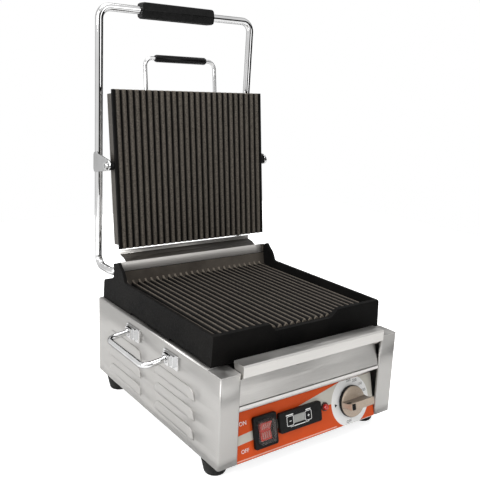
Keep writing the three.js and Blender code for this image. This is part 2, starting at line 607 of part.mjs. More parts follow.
const coverProfile = [[134.4, 184.6], [139.8, 198.1], [148.2, 203.2], [161.8, 205.8], [161.8, 212.2]];
function sheetAlong(profile, thickness) {
  const outer = profile.map(([a, b]) => new THREE.Vector2(a, b));
  const inner = outer.map((point, i) => {
    const ahead = outer[Math.min(i + 1, outer.length - 1)].clone();
    const along = ahead.sub(outer[Math.max(i - 1, 0)]).normalize();
    return new THREE.Vector2(point.x + along.y * thickness, point.y - along.x * thickness);
  });
  return [...outer, ...inner.reverse()].map((point) => [point.x, point.y]);
}
const cornerNotch = prismZ([[130.6, 165], [130.6, 155], [134, 149.5], [139, 148], [150, 148],
  [150, 165]], 190, 230);
const upstandTrim = block([130.6, 150], [158, 170], [190, 230]);
const hingeCover = prismX(sheetAlong(coverProfile, THIN_SHEET), -144.8, 144.8)
  .subtract(cornerNotch).subtract(cornerNotch.mirror([1, 0, 0]))
  .subtract(upstandTrim).subtract(upstandTrim.mirror([1, 0, 0]));
add(press, 'hinge_cover', hingeCover, brushedSteel);

// ---- Side carrying handles on stepped mounts ----
const HANDLE_HALF = 57.5;
const HANDLE_Y = -7;
const HANDLE_Z = 116;
const HANDLE_OUT = 45;
const HANDLE_DROP = 5.5;               // the grip hangs this far below the mounts
const HANDLE_RADIUS = 4.1;
const handleMounts = [['front', -1], ['rear', 1]];
for (const [side, sign] of sides) {
  const outX = -halfWidth - HANDLE_OUT;
  const legX = -halfWidth - 9;
  const gripZ = HANDLE_Z - HANDLE_DROP;
  const handle = rod(bentPath([vec(legX, HANDLE_Y - HANDLE_HALF, HANDLE_Z),
    vec(outX, HANDLE_Y - HANDLE_HALF, gripZ),
    vec(outX, HANDLE_Y + HANDLE_HALF, gripZ), vec(legX, HANDLE_Y + HANDLE_HALF, HANDLE_Z)], 13),
    HANDLE_RADIUS, 12);
  add(press, `side_handle_${side}`, mirrorX(handle, sign), chrome);
  for (const [end, endSign] of handleMounts) {
    const y = HANDLE_Y + endSign * HANDLE_HALF;
    const mount = block([-halfWidth - 4, -halfWidth - GAP], [y - 20, y + 20], [HANDLE_Z - 14, HANDLE_Z + 7])
      .add(block([-halfWidth - 12, -halfWidth - 3], [y - 8, y + 8], [HANDLE_Z - 9, HANDLE_Z + 6.5]))
      .subtract(cylinderX(y, HANDLE_Z - 0.4, HANDLE_RADIUS + 2 * GAP,
        -halfWidth - 30, -halfWidth - 7.6, 12));
    add(press, `handle_mount_${side}_${end}`, mirrorX(mount, sign), chrome);
  }
}

// ---- Arm: one bent tube from the hinge up and over, with its grip and pivot brackets ----
const armCorners = [vec(-118, SHAFT_Y, SHAFT_Z), vec(-ARM_HALF_WIDTH, SHAFT_Y, SHAFT_Z),
  vec(-ARM_HALF_WIDTH, ARM_BASE_Y, SHAFT_Z), vec(-ARM_HALF_WIDTH, ARM_TOP_Y, ARM_TOP_Z),
  vec(ARM_HALF_WIDTH, ARM_TOP_Y, ARM_TOP_Z), vec(ARM_HALF_WIDTH, ARM_BASE_Y, SHAFT_Z),
  vec(ARM_HALF_WIDTH, SHAFT_Y, SHAFT_Z), vec(118, SHAFT_Y, SHAFT_Z)];
add(press, 'arm_tube', rod(bentPath(armCorners, 18, 5), ARM_RADIUS, 12), chrome);
add(press, 'hinge_shaft', cylinderX(SHAFT_Y, SHAFT_Z, SHAFT_RADIUS, -118 + GAP, 118 - GAP, 16), zincSteel);

const GRIP_HALF = 68.5;
const GRIP_MIDDLE = -7;                // pushed along the bar, off its middle
const gripSection = rounded([[-9.5, -12.5], [9.5, -12.5], [12.5, 0], [9.5, 12.5],
  [-9.5, 12.5], [-12.5, 0]], 3, 2);
const armGrip = prismX(gripSection, -GRIP_HALF, GRIP_HALF)
  .subtract(cylinderX(0, 0, ARM_RADIUS + GAP, -200, 200, 16));
const armGripMesh = add(press, 'arm_grip', armGrip, blackPlastic);
armGripMesh.position.set(GRIP_MIDDLE, ARM_TOP_Y, ARM_TOP_Z);

const armYAt = (z) => ARM_BASE_Y + (ARM_TOP_Y - ARM_BASE_Y) * (z - SHAFT_Z) / (ARM_TOP_Z - SHAFT_Z);
const BRACKET_THICKNESS = 3;
const bracketInside = ARM_HALF_WIDTH + ARM_RADIUS + GAP;
const bracketOutside = bracketInside + BRACKET_THICKNESS;
for (const [side, sign] of sides) {
  const bracketOutline = rounded([[PIVOT_Y - 9, PIVOT_Z - 6, 7], [armYAt(337), 336, 1],
    [armYAt(371), 371, 1],
    [PIVOT_Y - 8, PIVOT_Z + 9, 7]], 0, 3);
  const bracket = prismX(bracketOutline, -bracketOutside, -bracketInside)
    .subtract(cylinderX(PIVOT_Y, PIVOT_Z, BOLT_RADIUS + GAP, -200, -100));
  add(press, `pivot_bracket_${side}`, mirrorX(bracket, sign), chrome);
}

// ---- Upper platen, in its own frame: origin on the pivot, z up the plate, -y the working side ----
const platen = new THREE.Group();
platen.position.set(0, PIVOT_Y, PIVOT_Z);
platen.rotation.x = -PLATEN_LEAN * DEG;
press.add(platen);

const plateRibFloor = PLATE_FACE + RIB_HEIGHT;
const plateMiddle = (PLATE_ABOVE_PIVOT - PLATE_BELOW_PIVOT) / 2;
const plateHalfHeight = (PLATE_ABOVE_PIVOT + PLATE_BELOW_PIVOT) / 2;
const upperRibs = ribRow(RIB_COUNT, RIB_PITCH + 0.06, RIB_HEIGHT, plateHalfHeight, 4.4, 2.8)
  .rotate([90, 0, 0]).translate([0, plateRibFloor, plateMiddle]);
const upperPlate = block([-PLATE_HALF_WIDTH, PLATE_HALF_WIDTH], [plateRibFloor, PLATE_BACK],
  [-PLATE_BELOW_PIVOT, PLATE_ABOVE_PIVOT])
  .add(upperRibs)
  .add(block([-PLATE_HALF_WIDTH, -PLATE_HALF_WIDTH + 4.6], [PLATE_FACE + 1, PLATE_BACK],
    [-PLATE_BELOW_PIVOT, PLATE_ABOVE_PIVOT]))
  .add(block([PLATE_HALF_WIDTH - 4.6, PLATE_HALF_WIDTH], [PLATE_FACE + 1, PLATE_BACK],
    [-PLATE_BELOW_PIVOT, PLATE_ABOVE_PIVOT]));
const boss = block([-130, 130], [plateRibFloor + 0.5, PLATE_BOSS_BACK],
  [-COVER_BELOW_PIVOT + 5, COVER_ABOVE_PIVOT - 5]);
add(platen, 'upper_plate', upperPlate.add(boss), castIron);

const coverShape = (inset) => rounded([[-COVER_HALF_WIDTH + inset, PLATE_BACK + GAP - (inset ? 5 : 0), 0],
  [COVER_HALF_WIDTH - inset, PLATE_BACK + GAP - (inset ? 5 : 0), 0],
  [COVER_HALF_WIDTH - inset, COVER_BACK - inset, 8],
  [-COVER_HALF_WIDTH + inset, COVER_BACK - inset, 8]], 0, 3);
const boltHoles = cylinderX(0, 0, BOLT_RADIUS + GAP, -200, -130)
  .add(cylinderX(0, 0, BOLT_RADIUS + GAP, 130, 200));
const upperCover = prismZ(coverShape(0), -COVER_BELOW_PIVOT, COVER_ABOVE_PIVOT)
  .subtract(prismZ(coverShape(THIN_SHEET), -COVER_BELOW_PIVOT + THIN_SHEET, COVER_ABOVE_PIVOT - THIN_SHEET))
  .subtract(boltHoles);
add(platen, 'upper_cover', upperCover, brushedSteel);
const upperElement = heatingElement(115, 90, 0, 6, 8).rotate([90, 0, 0])
  .translate([0, PLATE_BOSS_BACK + GAP + 4, -8]);
add(platen, 'upper_element', upperElement, heaterSheath);
add(platen, 'upper_clamp_plate', block([-125, 125], [8.1, 9.5], [-110, 94]), zincSteel);
add(platen, 'upper_insulation', block([-132, 132], [10, 19], [-120, 105]), woolGrey);

for (const [side, sign] of sides) {
  const bolt = cylinderX(0, 0, BOLT_RADIUS, -bracketOutside - 1, -136, 16)
    .add(cylinderX(0, 0, 6.5, -bracketOutside - 4, -bracketOutside - GAP, 12))
    .subtract(cylinderX(0, 0, 2.6, -bracketOutside - 9, -bracketOutside - 2, 6));
  add(platen, `pivot_bolt_${side}`, mirrorX(bolt, sign), zincSteel);
  const spacer = cylinderX(0, 0, 7, -bracketInside + GAP, -PLATE_HALF_WIDTH - GAP, 20)
    .subtract(cylinderX(0, 0, BOLT_RADIUS + GAP, -200, -100, 16));
  add(platen, `pivot_spacer_${side}`, mirrorX(spacer, sign), blackPlastic);
}

// Small rod handle standing up from the back of the cover, with its grip.
const PLATEN_HANDLE_HALF = 67.7;
const PLATEN_HANDLE_RADIUS = 3.1;
const HANDLE_LOW = 60;                 // foot of each leg, above the pivot
const HANDLE_HIGH = 172.5;
const handleY = COVER_BACK + GAP + PLATEN_HANDLE_RADIUS;
const platenHandle = rod(bentPath([vec(-PLATEN_HANDLE_HALF, handleY, HANDLE_LOW),
  vec(-PLATEN_HANDLE_HALF, handleY, HANDLE_HIGH),
  vec(PLATEN_HANDLE_HALF, handleY, HANDLE_HIGH), vec(PLATEN_HANDLE_HALF, handleY, HANDLE_LOW)], 13),
PLATEN_HANDLE_RADIUS, 10);
add(platen, 'platen_handle', platenHandle, chrome);
const platenGrip = cylinderX(handleY, HANDLE_HIGH, 6, -49.2, 49.2, 12)
  .subtract(cylinderX(handleY, HANDLE_HIGH, PLATEN_HANDLE_RADIUS + GAP, -60, 60, 16));
add(platen, 'platen_handle_grip', platenGrip, blackPlastic);

// ---- Placement: origin under the middle of the whole object, at the bottom of its feet ----
press.position.set(0, 0, FOOT_HEIGHT);
press.updateMatrixWorld(true);
const whole = new THREE.Box3().setFromObject(press, true);
press.position.y = -(whole.min.y + whole.max.y) / 2;

export default press;
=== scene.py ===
import math

import bmesh
import bpy
from mathutils import Matrix, Vector


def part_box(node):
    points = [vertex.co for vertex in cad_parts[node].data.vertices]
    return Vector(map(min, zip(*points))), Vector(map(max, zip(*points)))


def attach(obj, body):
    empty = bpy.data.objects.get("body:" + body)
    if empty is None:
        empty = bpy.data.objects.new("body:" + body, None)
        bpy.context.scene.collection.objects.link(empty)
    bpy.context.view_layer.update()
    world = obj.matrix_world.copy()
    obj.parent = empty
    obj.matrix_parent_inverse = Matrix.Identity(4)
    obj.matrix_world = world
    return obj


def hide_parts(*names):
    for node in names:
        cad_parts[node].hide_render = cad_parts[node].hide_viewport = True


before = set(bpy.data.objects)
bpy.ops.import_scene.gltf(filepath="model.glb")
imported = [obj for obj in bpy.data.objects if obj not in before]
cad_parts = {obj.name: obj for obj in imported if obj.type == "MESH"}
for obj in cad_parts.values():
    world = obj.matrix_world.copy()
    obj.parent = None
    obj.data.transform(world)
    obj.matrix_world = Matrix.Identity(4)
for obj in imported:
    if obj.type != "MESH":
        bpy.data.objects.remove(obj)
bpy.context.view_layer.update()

# ---- Side panels ----
# Each side of the housing is one folded sheet of brushed stainless steel: a wall, a front column
# with its return, a rear flange and a rolled top edge. Louvres are pressed out of the wall.
MM = 0.001
FOOT_HEIGHT = 22
HALF_WIDTH = 160
HALF_DEPTH = 183.5
HOUSING_TOP = 130.5
COLUMN_INSIDE = 128.8
SHEET = 1.5
FOLD_RADIUS = 2.4
wall_low, wall_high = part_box("left_side_panel")
middle_y = (wall_low[1] + wall_high[1]) / 2
HOUSING = Matrix.Translation((0, middle_y, FOOT_HEIGHT * MM)) @ Matrix.Scale(MM, 4)


def finish(name, **values):
    """A material whose uniform values sit on its shader's own sockets."""
    material = bpy.data.materials.new(name)
    material.use_nodes = True
    shader = material.node_tree.nodes["Principled BSDF"]
    for socket, value in values.items():
        shader.inputs[socket.replace("_", " ")].default_value = value
    return material


def add_node(material, kind, feeds=None, **settings):
    """Adds a node; feeds gives each input either a value or the socket that drives it."""
    made = material.node_tree.nodes.new(kind)
    for setting, value in settings.items():
        setattr(made, setting, value)
    for socket, value in (feeds or {}).items():
        if isinstance(value, bpy.types.NodeSocket):
            material.node_tree.links.new(value, made.inputs[socket])
        else:
            made.inputs[socket].default_value = value
    return made


def drive(material, **feeds):
    shader = material.node_tree.nodes["Principled BSDF"]
    for socket, source in feeds.items():
        material.node_tree.links.new(source, shader.inputs[socket.replace("_", " ")])


NOISE_ROUGHNESS = 0.55
NOISE_LOW, NOISE_HIGH = 0.3, 0.7


def pattern(material, scale, detail=4.0, stretch=(1, 1, 1)):
    """Noise on the piece's own coordinates, stretched where a finish has a direction."""
    place = add_node(material, "ShaderNodeTexCoord").outputs["Object"]
    mapped = add_node(material, "ShaderNodeMapping", {"Vector": place, "Scale": stretch})
    noise = add_node(material, "ShaderNodeTexNoise", {
        "Vector": mapped.outputs["Vector"], "Scale": scale, "Detail": detail, "Roughness": NOISE_ROUGHNESS})
    return noise.outputs["Fac"]


def between(material, amount, low, high, start=NOISE_LOW, end=NOISE_HIGH):
    """A value that goes from low to high as the amount goes from start to end."""
    spread = add_node(material, "ShaderNodeMapRange", {
        "Value": amount, "From Min": start, "From Max": end, "To Min": low, "To Max": high})
    return spread.outputs["Result"]


def shades(material, amount, *stops):
    """A colour for each amount, from two or more stops in rising order."""
    ramp = add_node(material, "ShaderNodeValToRGB", {"Fac": amount})
    elements = ramp.color_ramp.elements
    for position, colour in stops[2:]:
        elements.new(position)
    for element, (position, colour) in zip(elements, stops):
        element.position = position
        element.color = (*colour, 1)
    return ramp.outputs["Color"]


def relief(material, height, strength, distance):
    bump = add_node(material, "ShaderNodeBump", {
        "Height": height, "Strength": strength, "Distance": distance})
    drive(material, Normal=bump.outputs["Normal"])


def brushed_steel(name, across, dark, light, rough=(0.27, 0.4), metallic=1.0):
    """Stainless sheet: fine lines along the grain, and broad soft clouds from handling."""
    material = finish(name, Metallic=metallic, Anisotropic=0.35)
    lines = pattern(material, 1.0, 3.0, across)
    clouds = pattern(material, 7.0, 1.0)
    total = add_node(material, "ShaderNodeMath", {0: lines, 1: clouds}, operation="ADD").outputs[0]
    amount = between(material, total, 0, 1, 0.7, 1.3)
    drive(material, Base_Color=shades(material, amount, (0, dark), (1, light)),
          Roughness=between(material, amount, *rough, 0, 1))
    relief(material, lines, 0.12, 0.00015)
    return material


GRAIN_ALONG_X = (30, 1500, 1500)
GRAIN_ALONG_Y = (1500, 30, 1500)
GRAIN_ALONG_Z = (1500, 1500, 30)
STEEL_DARK = (0.43, 0.42, 0.405)
STEEL_LIGHT = (0.495, 0.485, 0.47)
wall_steel = brushed_steel("stainless_wall", GRAIN_ALONG_Y, STEEL_DARK, STEEL_LIGHT, (0.36, 0.48))


def place_piece(name, shape, place, materials, body, slot, *nodes):
    """Puts a shape made in millimetres in its place, and hides the CAD nodes it stands for."""
    shape.transform(place)
    mesh = bpy.data.meshes.new(name)
    shape.to_mesh(mesh)
    shape.free()
    for material in materials if isinstance(materials, list) else [materials]:
        mesh.materials.append(material)
    return place_mesh(name, mesh, body, slot, *nodes)


def place_mesh(name, mesh, body, slot, *nodes):
    for polygon in mesh.polygons:
        polygon.use_smooth = True
    mesh.set_sharp_from_angle(angle=math.radians(32))
    thing = bpy.data.objects.new(name, mesh)
    bpy.context.collection.objects.link(thing)
    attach(thing, body)
    if nodes:
        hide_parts(*nodes)
    return thing


def soften(thing, width, segments=2):
    """Rounds a finished piece's edges by a width in millimetres."""
    bevel = thing.modifiers.new("Soft edges", "BEVEL")
    bevel.width = width * MM
    bevel.segments = segments
    bevel.angle_limit = math.radians(30)
    shading = thing.modifiers.new("Flat faces stay flat", "WEIGHTED_NORMAL")
    shading.weight = 100
    shading.keep_sharp = True
    return thing


def thicken(thing, thickness):
    """Gives a sheet its thickness, behind its outer face."""
    wall = thing.modifiers.new("Sheet", "SOLIDIFY")
    wall.thickness = thickness * MM
    wall.offset = -1
    return thing


def bent(corners, radius, steps=8, closed=False):
    """A path through its corners, each one bent to a radius."""
    corners = [Vector(corner) for corner in corners]
    path = []
    for i, corner in enumerate(corners):
        if not closed and i in (0, len(corners) - 1):
            path.append(corner)
            continue
        before = (corners[i - 1] - corner).normalized()
        after = (corners[(i + 1) % len(corners)] - corner).normalized()
        half_angle = before.angle(after) / 2
        middle = corner + (before + after).normalized() * radius / math.sin(half_angle)
        start = corner + before * radius / math.tan(half_angle) - middle
        end = corner + after * radius / math.tan(half_angle) - middle
        for k in range(steps + 1):
            swung = start.slerp(end, k / steps) if len(start) == 3 else start.lerp(end, k / steps)
            path.append(middle + swung.normalized() * radius)
    return path


def extruded(outline, axis, low, high):
    """A closed prism: an outline in the two other axes, run along one axis."""
    place_of = "xyz".index(axis)
    shape = bmesh.new()
    ends = []
    for along in (low, high):
        spots = [(*point[:place_of], along, *point[place_of:]) for point in outline]
        ends.append([shape.verts.new(spot) for spot in spots])
    count = len(outline)
    for end in ends:
        shape.faces.new(end)
    for i in range(count):
        shape.faces.new((ends[0][i], ends[0][(i + 1) % count], ends[1][(i + 1) % count], ends[1][i]))
    bmesh.ops.recalc_face_normals(shape, faces=shape.faces)
    return shape


def block(x, y, z):
    """A box, from its low and high along each axis."""
    return extruded([(x[0], y[0]), (x[1], y[0]), (x[1], y[1]), (x[0], y[1])], "z", *z)


def merged(*shapes):
    """Several shapes put together as one, and used up."""
    whole = bmesh.new()
    for shape in shapes:
        carrier = bpy.data.meshes.new("carrier")
        shape.to_mesh(carrier)
        shape.free()
        whole.from_mesh(carrier)
        bpy.data.meshes.remove(carrier)
    return whole


def mirrored(shape):
    """The same shape for the other side, still facing outwards."""
    bmesh.ops.scale(shape, vec=(-1, 1, 1), verts=shape.verts)
    bmesh.ops.reverse_faces(shape, faces=shape.faces)
    return shape


def sheet_grid(columns, rows, position, is_open=lambda i, j: False):
    """A sheet as a grid of faces, with some of them left open."""
    shape = bmesh.new()
    verts = [[shape.verts.new(position(a, b)) for b in rows] for a in columns]
    for i in range(len(columns) - 1):
        for j in range(len(rows) - 1):
            if not is_open(i, j):
                shape.faces.new((verts[i][j], verts[i + 1][j], verts[i + 1][j + 1], verts[i][j + 1]))
    loose = [vert for vert in shape.verts if not vert.link_faces]
    bmesh.ops.delete(shape, geom=loose, context="VERTS")
    return shape


LOUVRE_LENGTH = 110
LOUVRE_HEIGHT = 16
LOUVRE_STAND_OUT = 1.8
LOUVRE_TOPS = (90, 61.5, 33)
LOUVRE_MIDDLES = (-69, 84)
MOUTH_HALF = 44
MOUTH_HEIGHT = 7
mouth_edges = {round(middle + side * MOUTH_HALF, 3) for middle in LOUVRE_MIDDLES for side in (-1, 1)}
REAR_FLANGE = 20
FLANGE_Y = HALF_DEPTH - 0.2
RETURN_DEPTH = 4
fold_line = bent([(-HALF_WIDTH + REAR_FLANGE, FLANGE_Y), (-HALF_WIDTH, FLANGE_Y), (-HALF_WIDTH, -HALF_DEPTH),
                  (-COLUMN_INSIDE, -HALF_DEPTH), (-COLUMN_INSIDE, -HALF_DEPTH + RETURN_DEPTH)],
                 FOLD_RADIUS, 5)
fold_line += [Vector((-HALF_WIDTH, edge)) for edge in mouth_edges]
ON_WALL = -HALF_WIDTH + 0.001
rear_run = [p for p in fold_line if p.x > ON_WALL and p.y > 0]
wall_run = sorted((p for p in fold_line if p.x <= ON_WALL), key=lambda p: -p.y)
front_run = [p for p in fold_line if p.x > ON_WALL and p.y < 0]
wall_path = rear_run + wall_run + front_run
WALL_FOOT = 2.0
wall_rows = sorted({WALL_FOOT, HOUSING_TOP - SHEET, *(top - LOUVRE_HEIGHT for top in LOUVRE_TOPS),
                    *(top - LOUVRE_HEIGHT + MOUTH_HEIGHT for top in LOUVRE_TOPS)})


def in_mouth(i, j):
    across = (wall_path[i] + wall_path[i + 1]) / 2
    up = (wall_rows[j] + wall_rows[j + 1]) / 2
    beside = any(abs(across.y - middle) < MOUTH_HALF for middle in LOUVRE_MIDDLES)
    level_with = any(0 < up - (top - LOUVRE_HEIGHT) < MOUTH_HEIGHT for top in LOUVRE_TOPS)
    return beside and level_with and across.x <= ON_WALL


def folded_wall():
    return sheet_grid(wall_path, wall_rows, lambda p, up: (p.x, p.y, up), in_mouth)


def louvre_hood():
    """One pressed hood: round at both ends, open along its lower edge."""
    straight = LOUVRE_LENGTH / 2 - LOUVRE_HEIGHT
    quarter = [90 * k / 8 for k in range(9)]
    spine = [(-straight, 180 - turn) for turn in quarter] + [(straight, 90 - turn) for turn in quarter]
    depths = [k / 6 for k in range(7)]

    def on_hood(spot, depth):
        middle, angle = spot
        reach = LOUVRE_HEIGHT * math.cos(depth * math.pi / 2)
        out = LOUVRE_STAND_OUT * math.sin(depth * math.pi / 2) ** 0.8
        return (-out, middle + reach * math.cos(math.radians(angle)), reach * math.sin(math.radians(angle)))
    shape = sheet_grid(spine, depths, on_hood)
    bmesh.ops.remove_doubles(shape, verts=shape.verts, dist=0.001)
    for face in shape.faces:
        face.normal_update()
        if face.normal.x > 0:
            face.normal_flip()
    return shape


def geometry_tree(name, inputs):
    tree = bpy.data.node_groups.new(name, "GeometryNodeTree")
    for label, kind in inputs.items():
        tree.interface.new_socket(label, in_out="INPUT", socket_type=f"NodeSocket{kind}")
    tree.interface.new_socket("Geometry", in_out="OUTPUT", socket_type="NodeSocketGeometry")
    return tree, tree.nodes.new("NodeGroupInput").outputs


def tree_node(tree, kind, feeds, **settings):
    made = tree.nodes.new(kind)
    for setting, value in settings.items():
        setattr(made, setting, value)
    for socket, value in feeds.items():
        if isinstance(value, bpy.types.NodeSocket):
            tree.links.new(value, made.inputs[socket])
        else:
            made.inputs[socket].default_value = value
    return made.outputs


def finish_tree(tree, instances, material):
    real = tree_node(tree, "GeometryNodeRealizeInstances", {"Geometry": instances})
    dressed = tree_node(tree, "GeometryNodeSetMaterial", {"Geometry": real["Geometry"], "Material": material})
    tree_node(tree, "NodeGroupOutput", {"Geometry": dressed["Geometry"]})


def grow(tree, **values):
    """Runs a tree once with its inputs set, and gives back a plain mesh."""
    host = bpy.data.objects.new("host", bpy.data.meshes.new("host"))
    bpy.context.collection.objects.link(host)
    modifier = host.modifiers.new("Grow", "NODES")
    modifier.node_group = tree
    for item in tree.interface.items_tree:
        key = item.name.replace(" ", "_")
        if item.in_out == "INPUT" and key in values:
            modifier[item.identifier] = values[key]
    bpy.context.view_layer.update()
    mesh = bpy.data.meshes.new_from_object(host.evaluated_get(bpy.context.evaluated_depsgraph_get()))
    host.modifiers.remove(modifier)
    bpy.data.objects.remove(host)
    return mesh


def rows_of_one_shape():
    """Copies one shape along a row, and that row over several rows."""
    tree, given = geometry_tree("rows_of_one_shape", {
        "Shape": "Object", "Start": "Vector", "Count": "Int", "Step": "Vector", "Rows": "Int",
        "Row Step": "Vector", "Material": "Material"})
    row = tree_node(tree, "GeometryNodeMeshLine", {
        "Count": given["Count"], "Start Location": given["Start"], "Offset": given["Step"]})
    rows = tree_node(tree, "GeometryNodeMeshLine", {"Count": given["Rows"], "Offset": given["Row Step"]})
    grid = tree_node(tree, "GeometryNodeInstanceOnPoints", {"Points": rows["Mesh"], "Instance": row["Mesh"]})
    points = tree_node(tree, "GeometryNodeRealizeInstances", {"Geometry": grid["Instances"]})
    shape = tree_node(tree, "GeometryNodeObjectInfo", {"Object": given["Shape"]})
    copies = tree_node(tree, "GeometryNodeInstanceOnPoints", {
        "Points": points["Geometry"], "Instance": shape["Geometry"]})
    finish_tree(tree, copies["Instances"], given["Material"])
    return tree


row_tree = rows_of_one_shape()


def copied(shape, place, material, start, count, step, rows=1, row_step=(0, 0, 0)):
    """A shape in millimetres copied by the tree, brought into its place as one mesh."""
    carrier = bpy.data.meshes.new("carrier")
    shape.to_mesh(carrier)
    shape.free()
    source = bpy.data.objects.new("source", carrier)
    bpy.context.collection.objects.link(source)
    mesh = grow(row_tree, Shape=source, Start=start, Count=count, Step=step, Rows=rows, Row_Step=row_step,
                Material=material)
    bpy.data.objects.remove(source)
    mesh.transform(place)
    return mesh


CAP_BACK = -HALF_DEPTH + 32
ROLL_DOWN, ROLL_IN = 8, 18
INTO_WALL = 0.05
roll_path = bent([(-HALF_WIDTH, HOUSING_TOP - ROLL_DOWN), (-HALF_WIDTH, HOUSING_TOP),
                  (-HALF_WIDTH + ROLL_IN, HOUSING_TOP)], FOLD_RADIUS, 6)
cap_outline = bent([(-HALF_WIDTH, -HALF_DEPTH), (-COLUMN_INSIDE, -HALF_DEPTH), (-COLUMN_INSIDE, CAP_BACK),
                    (-HALF_WIDTH, CAP_BACK)], 1.2, 3, True)
for side in ("left", "right"):
    wall = folded_wall()
    top_edge = sheet_grid(roll_path, [CAP_BACK, HALF_DEPTH - 3], lambda p, y: (p.x + INTO_WALL, y, p.y))
    cap = extruded(cap_outline, "z", HOUSING_TOP - SHEET, HOUSING_TOP)
    if side == "right":
        for shape in (wall, top_edge, cap):
            mirrored(shape)
    thicken(place_piece(f"folded_side_{side}", wall, HOUSING, wall_steel, "base", "stainless",
                        f"{side}_side_panel"), SHEET)
    thicken(place_piece(f"rolled_edge_{side}", top_edge, HOUSING, wall_steel, "base", "stainless"), SHEET)
    soften(place_piece(f"column_cap_{side}", cap, HOUSING, wall_steel, "base", "stainless"), 0.7, 3)
    louvres = copied(louvre_hood(), HOUSING @ Matrix.Translation((-HALF_WIDTH - INTO_WALL, 0, 0)), wall_steel,
                     (0, LOUVRE_MIDDLES[0], LOUVRE_TOPS[0] - LOUVRE_HEIGHT),
                     len(LOUVRE_TOPS), (0, 0, LOUVRE_TOPS[1] - LOUVRE_TOPS[0]),
                     len(LOUVRE_MIDDLES), (0, LOUVRE_MIDDLES[1] - LOUVRE_MIDDLES[0], 0))
    if side == "right":
        louvres.transform(Matrix.Scale(-1, 4, (1, 0, 0)))
        louvres.flip_normals()
    thicken(place_mesh(f"louvres_{side}", louvres, "base", "stainless"), 1.0)

# ---- Rear panel and base plate ----
# The back closes the housing with a screwed stainless sheet, slotted for air. The plate below is
# plain zinc-plated steel, slotted under the controls.
rear_steel = brushed_steel("stainless_rear", GRAIN_ALONG_X, STEEL_DARK, STEEL_LIGHT)


def plated_steel(name, dark, light):
    material = finish(name, Metallic=0.85)
    spangle = pattern(material, 240.0, 3.0)
    drive(material, Base_Color=shades(material, spangle, (NOISE_LOW, dark), (NOISE_HIGH, light)),
          Roughness=between(material, pattern(material, 60.0), 0.36, 0.58))
    relief(material, spangle, 0.1, 0.0002)
    return material


zinc = plated_steel("zinc_plate", (0.42, 0.42, 0.43), (0.6, 0.6, 0.61))


def as_packed(node):
    """A CAD node's own solid with its loose triangles joined into clean faces."""
    shape = bmesh.new()
    shape.from_mesh(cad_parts[node].data)
    bmesh.ops.remove_doubles(shape, verts=shape.verts, dist=0.00001)
    bmesh.ops.dissolve_limit(shape, angle_limit=math.radians(1), verts=shape.verts, edges=shape.edges)
    return shape


def refined(node, material, body, slot, edge):
    """The CAD node's shape with softened edges and a finish."""
    where = Matrix.Identity(4)
    soften(place_piece(f"{node}_finished", as_packed(node), where, material, body, slot, node), edge)


refined("rear_panel", rear_steel, "base", "stainless", 0.4)
refined("bottom_plate", zinc, "base", "zinc_steel", 0.4)


def turned(profile, steps=48):
    """A round body from (radius, height) pairs, its axis along z; ends on the axis are closed."""
    shape = bmesh.new()
    angles = [2 * math.pi * i / steps for i in range(steps)]
    rings = []
    for radius, height in profile:
        spots = [(radius * math.cos(angle), radius * math.sin(angle), height) for angle in angles]
        rings.append([shape.verts.new(spot) for spot in (spots if radius > 0 else spots[:1])])
    for low, high in zip(rings, rings[1:]):
        for i in range(steps):
            j = (i + 1) % steps
            corners = [low[i % len(low)], low[j % len(low)], high[j % len(high)], high[i % len(high)]]
            shape.faces.new(list(dict.fromkeys(corners)))
    bmesh.ops.recalc_face_normals(shape, faces=shape.faces)
    return shape


def coloured(name, scale, dark, light, detail=4.0, **values):
    """A material mottled in two close shades by noise of one scale."""
    material = finish(name, **values)
    cloud = pattern(material, scale, detail)
    drive(material, Base_Color=shades(material, cloud, (NOISE_LOW, dark), (NOISE_HIGH, light)))
    return material


# The screws have a low domed head with a raised cross on it.
screw_chrome = coloured("screw_steel", 900, (0.5, 0.5, 0.5), (0.72, 0.72, 0.72), Metallic=1.0, Roughness=0.22)
SCREW_RADIUS = 3.2
SCREW_HEIGHT = 1.8
CROSS_REACH = SCREW_RADIUS * 0.6
CROSS_HALF = 0.35


def screw_head():
    rounding = [a * math.pi / 12 for a in range(6)]
    dome = [(SCREW_RADIUS * math.cos(a), SCREW_HEIGHT * math.sin(a)) for a in rounding]
    cross = (SCREW_HEIGHT - 0.5, SCREW_HEIGHT + 0.02)
    head = merged(turned([*dome, (0, SCREW_HEIGHT)], 20),
                  block((-CROSS_REACH, CROSS_REACH), (-CROSS_HALF, CROSS_HALF), cross),
                  block((-CROSS_HALF, CROSS_HALF), (-CROSS_REACH, CROSS_REACH), cross))
    head.transform(Matrix.Rotation(math.radians(-90), 4, "X"))
    return head


rear_face = HALF_DEPTH - SHEET - 0.5
rear_screws = copied(screw_head(), HOUSING, screw_chrome, (-135, rear_face, 14), 4, (90, 0, 0),
                     2, (0, 0, 104))
place_mesh("rear_screws", rear_screws, "base", "zinc_steel")

# ---- Feet ----
# Four moulded black rubber feet, tapered downwards, are screwed through the base plate near its
# corners. They lift the housing so that air can enter from below.
def roughen(material, scale, smooth, rough, detail=4.0):
    drive(material, Roughness=between(material, pattern(material, scale, detail), smooth, rough))


def grain(material, scale, strength, depth, detail=4.0):
    relief(material, pattern(material, scale, detail), strength, depth)


